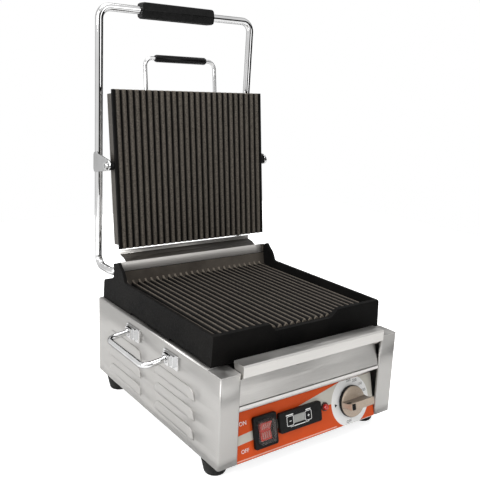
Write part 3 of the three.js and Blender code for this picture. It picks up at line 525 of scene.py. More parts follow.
rubber = coloured("black_rubber", 300, (0.012, 0.012, 0.012), (0.024, 0.024, 0.023), Specular_IOR_Level=0.12)
roughen(rubber, 90, 0.5, 0.75)
grain(rubber, 1400, 0.2, 0.0002)
foot_profile = [(0, 3), (5, 3), (6, 0.4), (12.6, 0), (13.6, 0.5), (14.6, 1.8), (15.2, 3), (17.8, 14),
                (18.9, 19), (19.4, 20.4), (19.2, 21.3), (18.6, 21.6), (0, 21.6)]
for end, y in (("front", -147.5), ("rear", 147.5)):
    for side, x in (("left", -140), ("right", 140)):
        where = HOUSING @ Matrix.Translation((x, y, -FOOT_HEIGHT))
        place_piece(f"rubber_foot_{end}_{side}", turned(foot_profile), where, rubber, "base", "rubber",
                    f"foot_{end}_{side}")

# ---- Tray bay ----
# A folded stainless divider floors the bay above the controls. Two zinc-plated angle runners, fixed
# inside the side panels, carry the tray.
front_steel = brushed_steel("stainless_front", GRAIN_ALONG_X, (0.58, 0.565, 0.545), (0.67, 0.655, 0.63))
refined("tray_divider", front_steel, "base", "stainless", 0.5)
for side in ("left", "right"):
    refined(f"tray_runner_{side}", zinc, "base", "zinc_steel", 0.3)

# ---- Drip tray ----
# A folded stainless pan catches the fat and slides on the runners. A second folded sheet is fixed to
# it as a sloped front, and the box-folded lip along its top is the pull.
refined("drip_tray_pan", front_steel, "tray", "stainless", 0.5)
refined("drip_tray_front", front_steel, "tray", "stainless", 0.45)

# ---- Control panel ----
# A sloped stainless sheet below the tray carries the controls. A printed film covers most of it:
# two shades with a sweep between them, a white dial round the thermostat, and the settings.
PANEL_SLOPE = math.radians(-13.4)
PANEL = HOUSING @ Matrix.Translation((0, -182, 0.5)) @ Matrix.Rotation(PANEL_SLOPE, 4, "X")
FILM_FRONT = -0.7
KNOB_AT = (81.5, 34.5)
DIAL_RADIUS = 37.5
PRINT_LOW, PRINT_HIGH = 1.1, 67.1
PRINT_HALF = 128.4
PRINT_THICKNESS = 0.06


def printed(name, colour):
    """Ink on a smooth film with a faint texture of its own."""
    darker = tuple(channel * 0.93 for channel in colour)
    material = coloured(name, 35, darker, colour, 2.0, Specular_IOR_Level=0.15)
    roughen(material, 500, 0.3, 0.42)
    grain(material, 1600, 0.05, 0.0001, 2.0)
    return material


orange_ink = printed("film_orange", (0.62, 0.075, 0.01))
white_ink = printed("film_white", (0.82, 0.82, 0.81))
beige_ink = printed("film_beige", (0.56, 0.54, 0.48))
black_ink = printed("film_black", (0.015, 0.015, 0.015))
refined("control_panel", front_steel, "base", "stainless", 0.4)
refined("panel_overlay", orange_ink, "base", "overlay", 0.1)


def print_area(name, outline, material, layer=1):
    """A printed shape lying on the film, given by its outline across and up the panel."""
    front = FILM_FRONT - PRINT_THICKNESS * layer
    shape = extruded(outline, "y", front, front + PRINT_THICKNESS * 0.9)
    place_piece(name, shape, PANEL, material, "base", "overlay")


def round_knob(radius, degrees):
    """A place on the panel, by its distance and its direction from the knob's axis."""
    angle = math.radians(degrees)
    return KNOB_AT[0] + radius * math.cos(angle), KNOB_AT[1] + radius * math.sin(angle)


# The pale sweep rises from the left end of the film, widens, and fills the space round the dial.
sweep_top = [(-PRINT_HALF, 36), (-100, 38.5), (-60, 42.5), (-20, 50.5), (20, 58.2), (45, 63),
             (66, PRINT_HIGH)]
sweep_bottom = [(PRINT_HALF, 20.5), (100, 20), (60, 33), (42, 38.7), (20, 38.2), (-20, 33.6), (-60, 29.5),
                (-100, 26), (-PRINT_HALF, 24)]
print_area("film_sweep", [*sweep_top, (PRINT_HALF, PRINT_HIGH), *sweep_bottom], beige_ink)

# The dial is a disc with its top and bottom cut off by the film's edges.
dial_high = math.degrees(math.asin((PRINT_HIGH - KNOB_AT[1]) / DIAL_RADIUS))
dial_low = math.degrees(math.asin((PRINT_LOW - KNOB_AT[1]) / DIAL_RADIUS))
right_arc = [dial_low + (dial_high - dial_low) * i / 48 for i in range(49)]
left_arc = [180 - degrees for degrees in reversed(right_arc)]
print_area("film_dial", [round_knob(DIAL_RADIUS, degrees) for degrees in right_arc + left_arc], white_ink, 2)
print_area("film_pointer", [(50.6, 36.6), (50.6, 31.2), (55.4, 33.9)], black_ink, 3)
pale_ink = printed("film_pale", (0.78, 0.42, 0.33))
print_area("film_rule", [(-PRINT_HALF, 2.6), (52, 2.6), (50, 4.2), (-PRINT_HALF, 4.2)], pale_ink, 2)
TOP_LAYER = 3
STANDING = Matrix.Rotation(math.radians(90), 4, "X")


def lettering(name, words, size, across, up, material):
    """Printed characters, made a mesh before they are placed."""
    text = bpy.data.curves.new(name, "FONT")
    text.body = words
    text.size = size
    text.align_x = "CENTER"
    text.align_y = "CENTER"
    text.extrude = PRINT_THICKNESS / 2
    text.resolution_u = 3
    host = bpy.data.objects.new(name, text)
    bpy.context.collection.objects.link(host)
    bpy.context.view_layer.update()
    mesh = bpy.data.meshes.new_from_object(host.evaluated_get(bpy.context.evaluated_depsgraph_get()))
    bpy.data.objects.remove(host)
    where = Matrix.Translation((across, FILM_FRONT - PRINT_THICKNESS * TOP_LAYER, up))
    mesh.transform(PANEL @ where @ STANDING)
    mesh.materials.clear()
    mesh.materials.append(material)
    place_mesh(name, mesh, "base", "overlay")


lettering("mark_on", "ON", 8, -114, 51.5, white_ink)
lettering("mark_off", "OFF", 7.6, -114, 14.5, white_ink)
SETTINGS = (("OFF", -100), ("100", 18), ("150", 42), ("200", 66), ("250", 90))
SETTINGS_RADIUS = 30.5
for words, degrees in SETTINGS:
    lettering(f"mark_dial_{words.lower()}", words, 6, *round_knob(SETTINGS_RADIUS, degrees), black_ink)

# ---- Rocker switch ----
# A moulded black bezel snaps into the panel. The red rocker tips in it, under a clear soft boot
# that keeps grease out.
black_plastic = coloured("black_plastic", 120, (0.005, 0.005, 0.005), (0.01, 0.01, 0.01),
                         Specular_IOR_Level=0.12)
roughen(black_plastic, 300, 0.3, 0.48)
grain(black_plastic, 2200, 0.18, 0.0001, 2.0)
ROCKER_AT = Matrix.Translation((-80.3, 0, 34))
ROCKER_HALF = 19.5
ROCKER_TALL = 22
PANEL_FACE = -1.0


def ring_face(outer, inner, back, front):
    """A frame with rounded corners: the outer and inner outlines joined front and back."""
    shape = bmesh.new()
    loops = [[shape.verts.new((x, y, z)) for x, z in outline]
             for outline, y in ((outer, back), (outer, front), (inner, front), (inner, back))]
    count = len(outer)
    for i in range(count):
        j = (i + 1) % count
        for low, high in zip(loops, loops[1:] + loops[:1]):
            shape.faces.new((low[i], low[j], high[j], high[i]))
    bmesh.ops.recalc_face_normals(shape, faces=shape.faces)
    return shape


def rounded_box(half_x, half_z, radius, steps=6):
    """The outline of a box round the origin, with its corners rounded."""
    corners = [(-half_x, -half_z), (half_x, -half_z), (half_x, half_z), (-half_x, half_z)]
    return bent(corners, radius, steps, True)


BEZEL_STAND_OUT = 5
SWITCH_BACK = 24
bezel = merged(ring_face(rounded_box(ROCKER_HALF, ROCKER_TALL, 3), rounded_box(12.2, 15.6, 1.5),
                         PANEL_FACE, PANEL_FACE - BEZEL_STAND_OUT),
               ring_face(rounded_box(ROCKER_HALF - 6, ROCKER_TALL - 5, 1), rounded_box(10.5, 15.1, 0.6),
                         SWITCH_BACK, PANEL_FACE))
soften(place_piece("switch_bezel", bezel, PANEL @ ROCKER_AT, black_plastic, "base", "black_plastic",
                   "rocker_housing"), 0.7, 3)

# The red plastic's faint emission is a painted glow that keeps the red bright.
red_plastic = coloured("red_plastic", 160, (0.33, 0.01, 0.004), (0.47, 0.018, 0.008), Roughness=0.22,
                       Specular_IOR_Level=0.25, Subsurface_Weight=0.1,
                       Emission_Color=(0.6, 0.03, 0.01, 1), Emission_Strength=0.03)
# The ribs are a paler red than the rocker.
pink_plastic = coloured("worn_red_plastic", 200, (0.34, 0.14, 0.12), (0.46, 0.22, 0.19), Roughness=0.35,
                        Specular_IOR_Level=0.2)
rocker_side = [(-6, -12.6), (-3.4, 1), (-9, 12.6), (4, 9.5), (4, -9.5)]
soften(place_piece("red_rocker", extruded(rocker_side, "x", -9, 9), PANEL @ ROCKER_AT, red_plastic, "rocker",
                   "red_plastic", "rocker_button"), 0.6, 3)

# Four raised ribs give the finger a hold on each half of the rocker, along its slope.
for half, front, up, slope in (("top", -6.35, 6.9, 25.8), ("bottom", -4.9, -5.9, -10.8)):
    on_slope = Matrix.Translation((0, front, up)) @ Matrix.Rotation(math.radians(slope), 4, "X")
    ribs = copied(block((-0.75, 0.75), (-0.6, 0.4), (-4.4, 4.4)), PANEL @ ROCKER_AT @ on_slope, pink_plastic,
                  (-5.4, 0, 0), 4, (3.6, 0, 0))
    place_mesh(f"rocker_ribs_{half}", ribs, "rocker", "red_plastic")

clear_boot = coloured("clear_boot", 130, (0.3, 0.26, 0.25), (0.5, 0.46, 0.44), Roughness=0.08,
                      Specular_IOR_Level=0.2)
drive(clear_boot, Alpha=between(clear_boot, pattern(clear_boot, 80.0), 0.03, 0.09))
grain(clear_boot, 150, 0.12, 0.0004, 1.0)
BOOT_FRONT = -13.0
BOOT_CORNER = 4.2
BOOT_SHOULDER = 3.2
BOOT_CROWN = 0.7
WALL_SHARE = 0.45


def bulged_cover(half_x, half_z, low, high):
    """A soft cover: an upright wall, a rounded shoulder and a slightly crowned front."""
    shape = bmesh.new()
    levels = [(0, low)]
    for k in range(7):
        angle = k / 6 * math.pi / 2
        rise = WALL_SHARE + (1 - WALL_SHARE) * math.sin(angle)
        levels.append((BOOT_SHOULDER * (1 - math.cos(angle)), low + (high - low) * rise))
    loops = []
    for inset, y in levels:
        outline = rounded_box(half_x - inset, half_z - inset, BOOT_CORNER, 5)
        loops.append([shape.verts.new((x, y, z)) for x, z in outline])
    middle = shape.verts.new((0, high - BOOT_CROWN, 0))
    count = len(loops[0])
    for low_loop, high_loop in zip(loops, loops[1:]):
        for i in range(count):
            j = (i + 1) % count
            shape.faces.new((low_loop[i], low_loop[j], high_loop[j], high_loop[i]))
    for i in range(count):
        shape.faces.new((loops[-1][i], loops[-1][(i + 1) % count], middle))
    bmesh.ops.recalc_face_normals(shape, faces=shape.faces)
    return shape


boot = bulged_cover(13.6, 16.6, PANEL_FACE - BEZEL_STAND_OUT, BOOT_FRONT)
thicken(place_piece("switch_boot", boot, PANEL @ ROCKER_AT, clear_boot, "base", "clear_boot",
                    "rocker_boot"), 0.5)

# ---- Digital timer ----
# A black moulded housing is clipped into the panel. Its face has rounded corners and holds a grey
# display between two push buttons, minus at the left and plus at the right.
def carved(whole, cutters, keep=()):
    """Cuts shapes out of a whole, after keeping only what lies inside the shapes to keep."""
    objects = []

    def stand(shape):
        mesh = bpy.data.meshes.new("carving")
        shape.to_mesh(mesh)
        shape.free()
        thing = bpy.data.objects.new("carving", mesh)
        bpy.context.collection.objects.link(thing)
        objects.append(thing)
        return thing

    base = stand(whole)
    for operation, shapes in (("INTERSECT", keep), ("DIFFERENCE", cutters)):
        for shape in shapes:
            cut = base.modifiers.new("Cut", "BOOLEAN")
            cut.operation = operation
            cut.solver = "EXACT"
            cut.object = stand(shape)
    bpy.context.view_layer.update()
    mesh = bpy.data.meshes.new_from_object(base.evaluated_get(bpy.context.evaluated_depsgraph_get()))
    for thing in objects:
        bpy.data.objects.remove(thing)
    result = bmesh.new()
    result.from_mesh(mesh)
    bmesh.ops.remove_doubles(result, verts=result.verts, dist=0.002)
    bmesh.ops.dissolve_limit(result, angle_limit=math.radians(0.5), verts=result.verts, edges=result.edges)
    return result


TIMER_X, TIMER_Z = -18.9, 36.7
TIMER_AT = Matrix.Translation((TIMER_X, 0, TIMER_Z))
TIMER_FRONT = PANEL_FACE - 6
TIMER_BACK = 30
KEY_MIDDLES = (-20.1, 12.9)


def box_at(across, up, half_x, half_z, radius):
    return [(x + across, z + up) for x, z in rounded_box(half_x, half_z, radius)]


window = extruded(box_at(-3.6, 0.5, 10.3, 5.8, 0.6), "y", TIMER_FRONT - 1, TIMER_FRONT + 3.4)
key_pockets = [extruded(box_at(middle, 0, 4.5, 5.5, 1.8), "y", TIMER_FRONT - 1, TIMER_FRONT + 3.8)
               for middle in KEY_MIDDLES]
timer_face = merged(
    carved(extruded(rounded_box(38.1, 14.3, 3.2), "y", TIMER_FRONT, PANEL_FACE), [window, *key_pockets]),
    extruded(rounded_box(33, 9.3, 1), "y", PANEL_FACE - 0.5, TIMER_BACK))
soften(place_piece("timer_face", timer_face, PANEL @ TIMER_AT, black_plastic, "base", "black_plastic",
                   "timer_housing"), 0.8, 3)
display = coloured("grey_display", 60, (0.2, 0.205, 0.19), (0.27, 0.275, 0.255), 2.0, Roughness=0.12,
                   Coat_Weight=0.8)
refined("timer_window", display, "base", "display", 0.2)

# White bars for words stand over the keys and the display, and a white ring goes round each key.
INK_PROUD, INK_SUNK = 0.08, 0.05
PRINTED_BARS = ((-20.5, 8.6, 6.5, 0.7), (13.2, 8.6, 4.5, 0.7), (-3.6, -8.3, 9.5, 0.55), (-20, -7.4, 0.3, 1.2),
                (12.9, -7.4, 0.3, 1.2), (-16.5, -8.3, 3.6, 0.3), (9.5, -8.3, 3.6, 0.3))


def ink_bar(across, up, half_wide, half_tall, front, proud=INK_PROUD):
    return block((across - half_wide, across + half_wide), (front - proud, front + INK_SUNK),
                 (up - half_tall, up + half_tall))


timer_print = [ink_bar(*bar, TIMER_FRONT) for bar in PRINTED_BARS]
timer_print += [ring_face(box_at(middle, 0, 6, 6.9, 2), box_at(middle, 0, 5.3, 6.2, 1.5),
                          TIMER_FRONT + INK_SUNK, TIMER_FRONT - INK_PROUD) for middle in KEY_MIDDLES]
place_piece("timer_print", merged(*timer_print), PANEL @ TIMER_AT, white_ink, "base", "overlay")

KEY_FRONT = TIMER_FRONT - 0.6
KEY_BACK = TIMER_FRONT + 2.9
SIGN_HALF, SIGN_THICK = 1.7, 0.45
for name, middle in zip(("minus", "plus"), KEY_MIDDLES):
    key_at = PANEL @ Matrix.Translation((TIMER_X + middle, 0, TIMER_Z))
    key = extruded(rounded_box(4.2, 5.2, 1.6), "y", KEY_FRONT, KEY_BACK)
    soften(place_piece(f"{name}_key", key, key_at, black_plastic, f"{name}_button", "black_plastic",
                       f"timer_{name}_button"), 0.4)
    marks = [ink_bar(0, 0, SIGN_HALF, SIGN_THICK, KEY_FRONT)]
    if name == "plus":
        marks.append(ink_bar(0, 0, SIGN_THICK, SIGN_HALF, KEY_FRONT, INK_PROUD + 0.01))
    place_piece(f"{name}_mark", merged(*marks), key_at, white_ink, f"{name}_button", "overlay")

# ---- Indicator lamp ----
# A small round neon lamp is pressed into a hole in the panel. Its faceted red lens stands out of a
# dark bezel and shows that the plates are heating.
LAMP_AT = Matrix.Translation((30.2, PANEL_FACE, 38.4)) @ STANDING
dark_rim = coloured("lamp_rim", 300, (0.05, 0.012, 0.008), (0.09, 0.02, 0.012), Roughness=0.3)
bezel_profile = [(4.2, -18), (4.2, 0), (6.4, 0), (6.4, 1.6), (5.9, 2.4), (5.1, 2.5), (4.8, 1.9), (0, 1.9)]
soften(place_piece("lamp_bezel", turned(bezel_profile, 40), PANEL @ LAMP_AT, dark_rim, "base",
                   "red_plastic"), 0.15)
lens_red = coloured("lamp_lens", 260, (0.24, 0.006, 0.004), (0.5, 0.016, 0.008), Roughness=0.08,
                    Coat_Weight=0.7, Emission_Color=(0.7, 0.01, 0.005, 1), Emission_Strength=0.06)
LENS_SIDES = 8
lens_shape = turned([(4.8, 1.8), (4.7, 3.2), (3.9, 5.4), (2.1, 6.9), (0, 7.4)], LENS_SIDES)
soften(place_piece("lamp_lens", lens_shape, PANEL @ LAMP_AT, lens_red, "base", "red_plastic",
                   "indicator_lamp"), 0.15)

# ---- Thermostat and knob ----
# A capillary thermostat sits behind the panel. Its knob is a lacquered moulding: a round skirt
# crossed by a bar grip, with a ribbed black insert that points at the setting.
refined("thermostat", zinc, "base", "zinc_steel", 0.4)
lacquer = coloured("champagne_lacquer", 700, (0.36, 0.288, 0.222), (0.45, 0.365, 0.288), Metallic=0.35,
                   Coat_Weight=0.3)
roughen(lacquer, 120, 0.28, 0.42)
# A darker copy of the lacquer is painted shade, for the bar's upper and lower flanks.
shaded_lacquer = coloured("shaded_lacquer", 700, (0.12, 0.095, 0.075), (0.2, 0.16, 0.128), Roughness=0.4,
                          Metallic=0.3)
for material in (lacquer, shaded_lacquer):
    grain(material, 2500, 0.1, 0.0001, 2.0)
KNOB_PLACE = PANEL @ Matrix.Translation((KNOB_AT[0], PANEL_FACE - 1, KNOB_AT[1])) @ STANDING
SKIRT_RADIUS = 23.5
BAR_HALF = 5.8
BAR_TOP = 26
base_ring = turned([(3.4, 0.2), (SKIRT_RADIUS - 0.6, 0), (SKIRT_RADIUS, 0.5), (SKIRT_RADIUS, 4.4),
                    (SKIRT_RADIUS - 0.4, 4.7), (3.4, 4.7), (3.4, 0.2)], 72)
place_piece("knob_base", base_ring, KNOB_PLACE, black_plastic, "knob", "black_plastic")
skirt = turned([(0, 4.7), (SKIRT_RADIUS - 0.9, 4.7), (SKIRT_RADIUS - 0.5, 5.1), (SKIRT_RADIUS - 0.6, 6.1),
                (SKIRT_RADIUS - 1.3, 7.0), (SKIRT_RADIUS - 3, 7.5), (0, 7.9)], 72)
place_piece("knob_skirt", skirt, KNOB_PLACE, lacquer, "knob", "knob")
bar_end = SKIRT_RADIUS - 0.3
waist = [(-5.6, 6), (-4.4, 9), (-3.7, 13), (-3.8, 17), (-4.7, 22), (-BAR_HALF, BAR_TOP)]
grip = extruded(waist + [(-across, up) for across, up in reversed(waist)], "x", -bar_end, bar_end)
# The bar's flanks take the darker lacquer: painted shade.
for face in grip.faces:
    face.normal_update()
    face.material_index = int(abs(face.normal.y) > 0.5)
soften(place_piece("knob_grip", grip, KNOB_PLACE, [lacquer, shaded_lacquer], "knob", "knob",
                   "thermostat_knob"), 0.7, 3)
INSERT_TOP = BAR_TOP + 0.7
insert_body = block((-bar_end + 1.2, -bar_end + 7.6), (-4.5, 4.5), (BAR_TOP - 11.5, INSERT_TOP))
soften(place_piece("knob_insert", insert_body, KNOB_PLACE, black_plastic, "knob", "black_plastic",
                   "knob_pointer"), 0.3)
insert_ribs = copied(block((-2.9, 2.9), (-0.45, 0.45), (-0.35, 0.35)), KNOB_PLACE, black_plastic,
                     (-bar_end + 4.4, -2.8, INSERT_TOP), 4, (0, 1.87, 0))
place_mesh("knob_insert_ribs", insert_ribs, "knob", "black_plastic")

# ---- Supply ----
# The cord would leave through a black plastic gland, screwed into the back panel and fluted for the
# fingers. Inside, a white moulded terminal block joins it to the wiring.
GLAND_AT = HOUSING @ Matrix.Translation((90, HALF_DEPTH - 11.5, 32)) @ STANDING.inverted()
gland_profile = [(4.2, 6), (8, 6), (8, 10), (11, 10), (11, 14.4), (10.4, 15), (8.8, 15.6), (8.4, 22),
                 (7.4, 23.6), (5.6, 24), (4.1, 23.4), (4, 6.2)]
place_piece("gland_body", turned(gland_profile), GLAND_AT, black_plastic, "base", "black_plastic",
            "cable_gland")
FLUTE_COUNT = 12
flutes = []
for i in range(FLUTE_COUNT):
    flute = block((-0.5, 0.5), (8.2, 9.1), (15.8, 21.6))
    flute.transform(Matrix.Rotation(2 * math.pi * i / FLUTE_COUNT, 4, "Z"))
    flutes.append(flute)
place_piece("gland_flutes", merged(*flutes), GLAND_AT, black_plastic, "base", "black_plastic")
white_plastic = coloured("white_plastic", 90, (0.68, 0.68, 0.65), (0.8, 0.8, 0.78), Roughness=0.45)
refined("terminal_block", white_plastic, "base", "white_plastic", 0.5)

# ---- Lower griddle ----
# One seasoned iron casting: a ribbed floor inside a raised rim, a pouring notch at the front and two
# ears at the back that shield the hinge. Its outer walls lean in a little, to leave the mould.
GRIDDLE_FRONT, GRIDDLE_BACK = -151, 178
GRIDDLE_BOTTOM = 131
BELOW, ABOVE = GRIDDLE_BOTTOM - 1, 300
GRIDDLE_FOOT_HALF = 153.8
RIM_HALF = 151.5
RIM_TOP = 173.5
INSIDE_HALF = 146.4
INSIDE_BACK = 138.6
RIB_HEIGHT = 4.5
RIB_TOP = 165.5
RIB_FLOOR = RIB_TOP - RIB_HEIGHT
RIB_PITCH = 11.2
RIB_COUNT = 25
RIB_FRONT = -141
RIB_BACK = 129


def blended(material, amount, first, second):
    """One colour fading into another as the amount goes from 0 to 1."""
    mix = add_node(material, "ShaderNodeMix", {"Factor": amount, "A": first, "B": second}, data_type="RGBA")
    return mix.outputs["Result"]


def cast_iron(name, dark, light, crown=None):
    """Seasoned iron: a dark skin with a sandy grain; brown-grey along its crowns, partly wear and partly
    painted highlight.
    """
    material = finish(name, Specular_IOR_Level=0.04)
    sand = pattern(material, 480.0, 5.0)
    cloud = pattern(material, 18.0, 3.0)
    skin = shades(material, cloud, (NOISE_LOW, dark), (NOISE_HIGH, light))
    # The crown colour is partly wear and partly a painted highlight along the rib tops.
    if crown:
        wear_and_highlight = add_node(material, "ShaderNodeAttribute", attribute_name="crown").outputs["Fac"]
        speckle = between(material, sand, 0.35, 1.0, 0.32, 0.62)
        amount = add_node(material, "ShaderNodeMath", {0: wear_and_highlight, 1: speckle}, operation="MULTIPLY")
        skin = blended(material, amount.outputs[0], skin, (*crown, 1))
    drive(material, Base_Color=skin, Roughness=between(material, sand, 0.42, 0.68))
    relief(material, sand, 0.6, 0.0006)
    return material


iron = cast_iron("griddle_iron", (0.004, 0.004, 0.004), (0.0085, 0.008, 0.0075))
rib_iron = cast_iron("griddle_ribs", (0.005, 0.005, 0.005), (0.01, 0.0095, 0.009), (0.12, 0.103, 0.085))
ear_profile = [(147.5, 170.8), (142.7, 175.2), (142.7, 196.2), (141.6, 197.4), (134.4, 197.8), (128, 201.7),
               (126.2, 202.4), (124.9, 201.6), (119, 196), (111, 189.4), (105.9, 181.8), (104.4, 177.4),
               (102.2, 175.4), (97.6, 174.9)]
casting_side = [(GRIDDLE_FRONT, GRIDDLE_BOTTOM), (GRIDDLE_BACK, GRIDDLE_BOTTOM), (GRIDDLE_BACK, 158.4),
                (176.9, 161), (174.4, 162.9), *ear_profile, (GRIDDLE_FRONT + 3, RIM_TOP),
                (GRIDDLE_FRONT + 0.9, RIM_TOP - 0.9), (GRIDDLE_FRONT, RIM_TOP - 3)]
right_draft = [(GRIDDLE_FOOT_HALF, BELOW), (RIM_HALF, RIM_TOP), (RIM_HALF, ABOVE)]
draft = right_draft + [(-across, up) for across, up in reversed(right_draft)]
basin_front = GRIDDLE_FRONT + 7
basin_outline = bent([(-INSIDE_HALF, basin_front), (INSIDE_HALF, basin_front), (INSIDE_HALF, INSIDE_BACK),
                      (-INSIDE_HALF, INSIDE_BACK)], 4, 4, True)
basin = extruded(basin_outline, "z", RIB_FLOOR, ABOVE)
rear_well = block((-INSIDE_HALF, INSIDE_HALF), (INSIDE_BACK, 172), (148, ABOVE))
hollow = block((-145, 145), (GRIDDLE_FRONT + 8, 133), (BELOW, 150))
pouring_notch = extruded([(-50, RIB_FLOOR + 1), (-64, 180), (76, 180), (52, RIB_FLOOR + 1)], "y",
                         GRIDDLE_FRONT - 10, RIB_FRONT - 1)
air_slots = [block((side_x - 7.2, side_x + 7.2), along, (BELOW, GRIDDLE_BOTTOM + 3.5))
             for side_x in (-158, 158) for along in ((-20, 76), (-124, -44))]
casting = carved(extruded(casting_side, "x", -155, 155),
                 [basin, rear_well, hollow, pouring_notch, *air_slots],
                 [extruded(draft, "y", GRIDDLE_FRONT - 2, GRIDDLE_BACK + 2)])
rise_profile = [(RIB_BACK, RIB_FLOOR - 0.5), (133.6, 184), (INSIDE_BACK, 184), (INSIDE_BACK, RIB_FLOOR - 0.5)]
back_rise = extruded(rise_profile, "x", -INSIDE_HALF - 0.5, INSIDE_HALF + 0.5)
browned_iron = cast_iron("browned_iron", (0.05, 0.043, 0.036), (0.095, 0.083, 0.07))
griddle_whole = merged(casting, back_rise)
for face in griddle_whole.faces:
    face.normal_update()
    middle = face.calc_center_median()
    inside = middle.y > 120 and abs(middle.x) < INSIDE_HALF + 1 and middle.z > RIB_FLOOR - 1
    face.material_index = int(inside and face.normal.y < -0.1)
soften(place_piece("griddle_casting", griddle_whole, HOUSING, [iron, browned_iron], "base", "cast_iron",
                   "lower_griddle"), 0.9, 3)
END_SLOPE = 1.6
HEEL_WEAR_AND_HIGHLIGHT = 1.7


def rib_shape(length, root_half, crown_half, height, wear_and_highlight_from):
    """One cooking rib with rounded shoulders and sloped ends; its crown is marked for the worn tone and the
    painted highlight.
    """
    side = [(root_half, -0.4), (root_half - 0.15, 0.5), (crown_half + 1, height * 0.55),
            (crown_half + 0.2, height * 0.83), (crown_half - 0.9, height * 0.95), (crown_half * 0.3, height)]
    section = [(-x, z) for x, z in side] + [(x, z) for x, z in reversed(side)]
    shape = bmesh.new()
    crown = shape.verts.layers.float.new("crown")
    loops = []
    half = length / 2
    for along, drop in ((-half, END_SLOPE), (END_SLOPE - half, 0), (half - END_SLOPE, 0), (half, END_SLOPE)):
        loop = []
        for x, z in section:
            vert = shape.verts.new((x, along, z - drop * max(z, 0) / height))
            vert[crown] = max(0.0, z / height - wear_and_highlight_from) / (1 - wear_and_highlight_from) + drop * (z > 0)
            loop.append(vert)
        loops.append(loop)
    for low, high in zip(loops, loops[1:]):
        for i in range(len(section) - 1):
            shape.faces.new((low[i], low[i + 1], high[i + 1], high[i]))
        shape.faces.new((low[-1], low[0], high[0], high[-1]))
    shape.faces.new(loops[0])
    shape.faces.new(loops[-1])
    bmesh.ops.recalc_face_normals(shape, faces=shape.faces)
    return shape


half_row = (RIB_COUNT - 1) / 2
row_start = (-half_row * RIB_PITCH, 0, 0)
lower_ribs = copied(rib_shape(RIB_BACK - RIB_FRONT + 1, 4.4, 2.0, RIB_HEIGHT, 0.82),
                    HOUSING @ Matrix.Translation((0, (RIB_FRONT + RIB_BACK + 1) / 2, RIB_FLOOR)), rib_iron,
                    row_start, RIB_COUNT, (RIB_PITCH, 0, 0))
place_mesh("griddle_ribs", lower_ribs, "base", "cast_iron")

# Each rib runs up at its back end into a short heel, coloured all over in the crown colour: wear and a
# painted highlight.
heel = extruded([(-4.5, -0.3), (-1.2, 0.7), (1.4, 3.6), (1.4, -0.3)], "x", -1.7, 1.7)
heel_wear_and_highlight = heel.verts.layers.float.new("crown")
for vert in heel.verts:
    vert[heel_wear_and_highlight] = HEEL_WEAR_AND_HIGHLIGHT
rib_heels = copied(heel, HOUSING @ Matrix.Translation((0, RIB_BACK, RIB_FLOOR + RIB_HEIGHT)), rib_iron,
                   row_start, RIB_COUNT, (RIB_PITCH, 0, 0))
place_mesh("griddle_rib_heels", rib_heels, "base", "cast_iron")

# ---- Lower heater ----
# A steel-sheathed element, bent back and forth, is clamped under the casting by a plated plate.
# The thermostat's bulb lies beside it, and a plated heat shield below keeps heat off the controls.
sheath = coloured("heater_sheath", 70, (0.1, 0.085, 0.07), (0.2, 0.17, 0.14), Metallic=0.7)
roughen(sheath, 300, 0.4, 0.65)
grain(sheath, 900, 0.15, 0.0002)
ELEMENT_HEIGHT = 145.3
ELEMENT_RUNS = 6
ELEMENT_RADIUS = 4
refined("lower_clamp_plate", zinc, "base", "zinc_steel", 0.3)
refined("lower_heat_shield", zinc, "base", "zinc_steel", 0.3)


def rod(path, radius, steps=24):
    """A round bar along a path, with its ends closed."""
    shape = bmesh.new()
    path = [Vector(point) for point in path]
    loops = []
    normal = None
    for i, point in enumerate(path):
        along = (path[min(i + 1, len(path) - 1)] - path[max(i - 1, 0)]).normalized()
        if normal is None:
            normal = along.orthogonal()
        normal = (normal - along * normal.dot(along)).normalized()
        side = along.cross(normal)
        loops.append([shape.verts.new(point + radius * (normal * math.cos(2 * math.pi * k / steps)
                                                        + side * math.sin(2 * math.pi * k / steps)))
                      for k in range(steps)])
    for low, high in zip(loops, loops[1:]):
        for k in range(steps):
            j = (k + 1) % steps
            shape.faces.new((low[k], low[j], high[j], high[k]))
    shape.faces.new(loops[0])
    shape.faces.new(loops[-1])
    bmesh.ops.recalc_face_normals(shape, faces=shape.faces)
    return shape


def heating_element(half_x, half_y, height, tail):
    """The sheathed rod, run back and forth across its plate."""
    corners = [(-half_x, half_y + tail, height)]
    for i in range(ELEMENT_RUNS):
        x = -half_x + 2 * half_x * i / (ELEMENT_RUNS - 1)
        near = half_y if i % 2 == 0 else -half_y
        if i > 0:
            corners.append((x, near, height))
        if i < ELEMENT_RUNS - 1:
            corners.append((x, -near, height))
    corners.append((half_x, half_y + tail, height))
    return rod(bent(corners, 12, 6), ELEMENT_RADIUS)


place_piece("lower_heater", heating_element(120, 100, ELEMENT_HEIGHT, 10), HOUSING, sheath, "base",
            "heater_sheath", "lower_element")
bulb = rod([(x, 120, ELEMENT_HEIGHT) for x in (-60, -58, 58, 60)], 3)
soften(place_piece("sensing_bulb", bulb, HOUSING, zinc, "base", "zinc_steel", "thermostat_bulb"), 0.8)

# ---- Hinge ----
# Two steel bearing blocks behind the griddle carry the shaft, a coiled spring stands round it at
# each side to hold the arm's weight, and a folded stainless cover lies over them.
for side in ("left", "right"):
    refined(f"hinge_block_{side}", zinc, "base", "zinc_steel", 0.5)
refined("hinge_shaft", screw_chrome, "arm", "zinc_steel", 0.4)
cover_steel = brushed_steel("stainless_cover", GRAIN_ALONG_X, (0.56, 0.54, 0.515), (0.64, 0.62, 0.59),
                            (0.34, 0.46), 0.45)
cover_line = bent([(134.4, 184.6), (139.8, 198.1), (148.2, 203.2), (161.8, 205.8), (161.8, 212.2)], 1.4, 4)

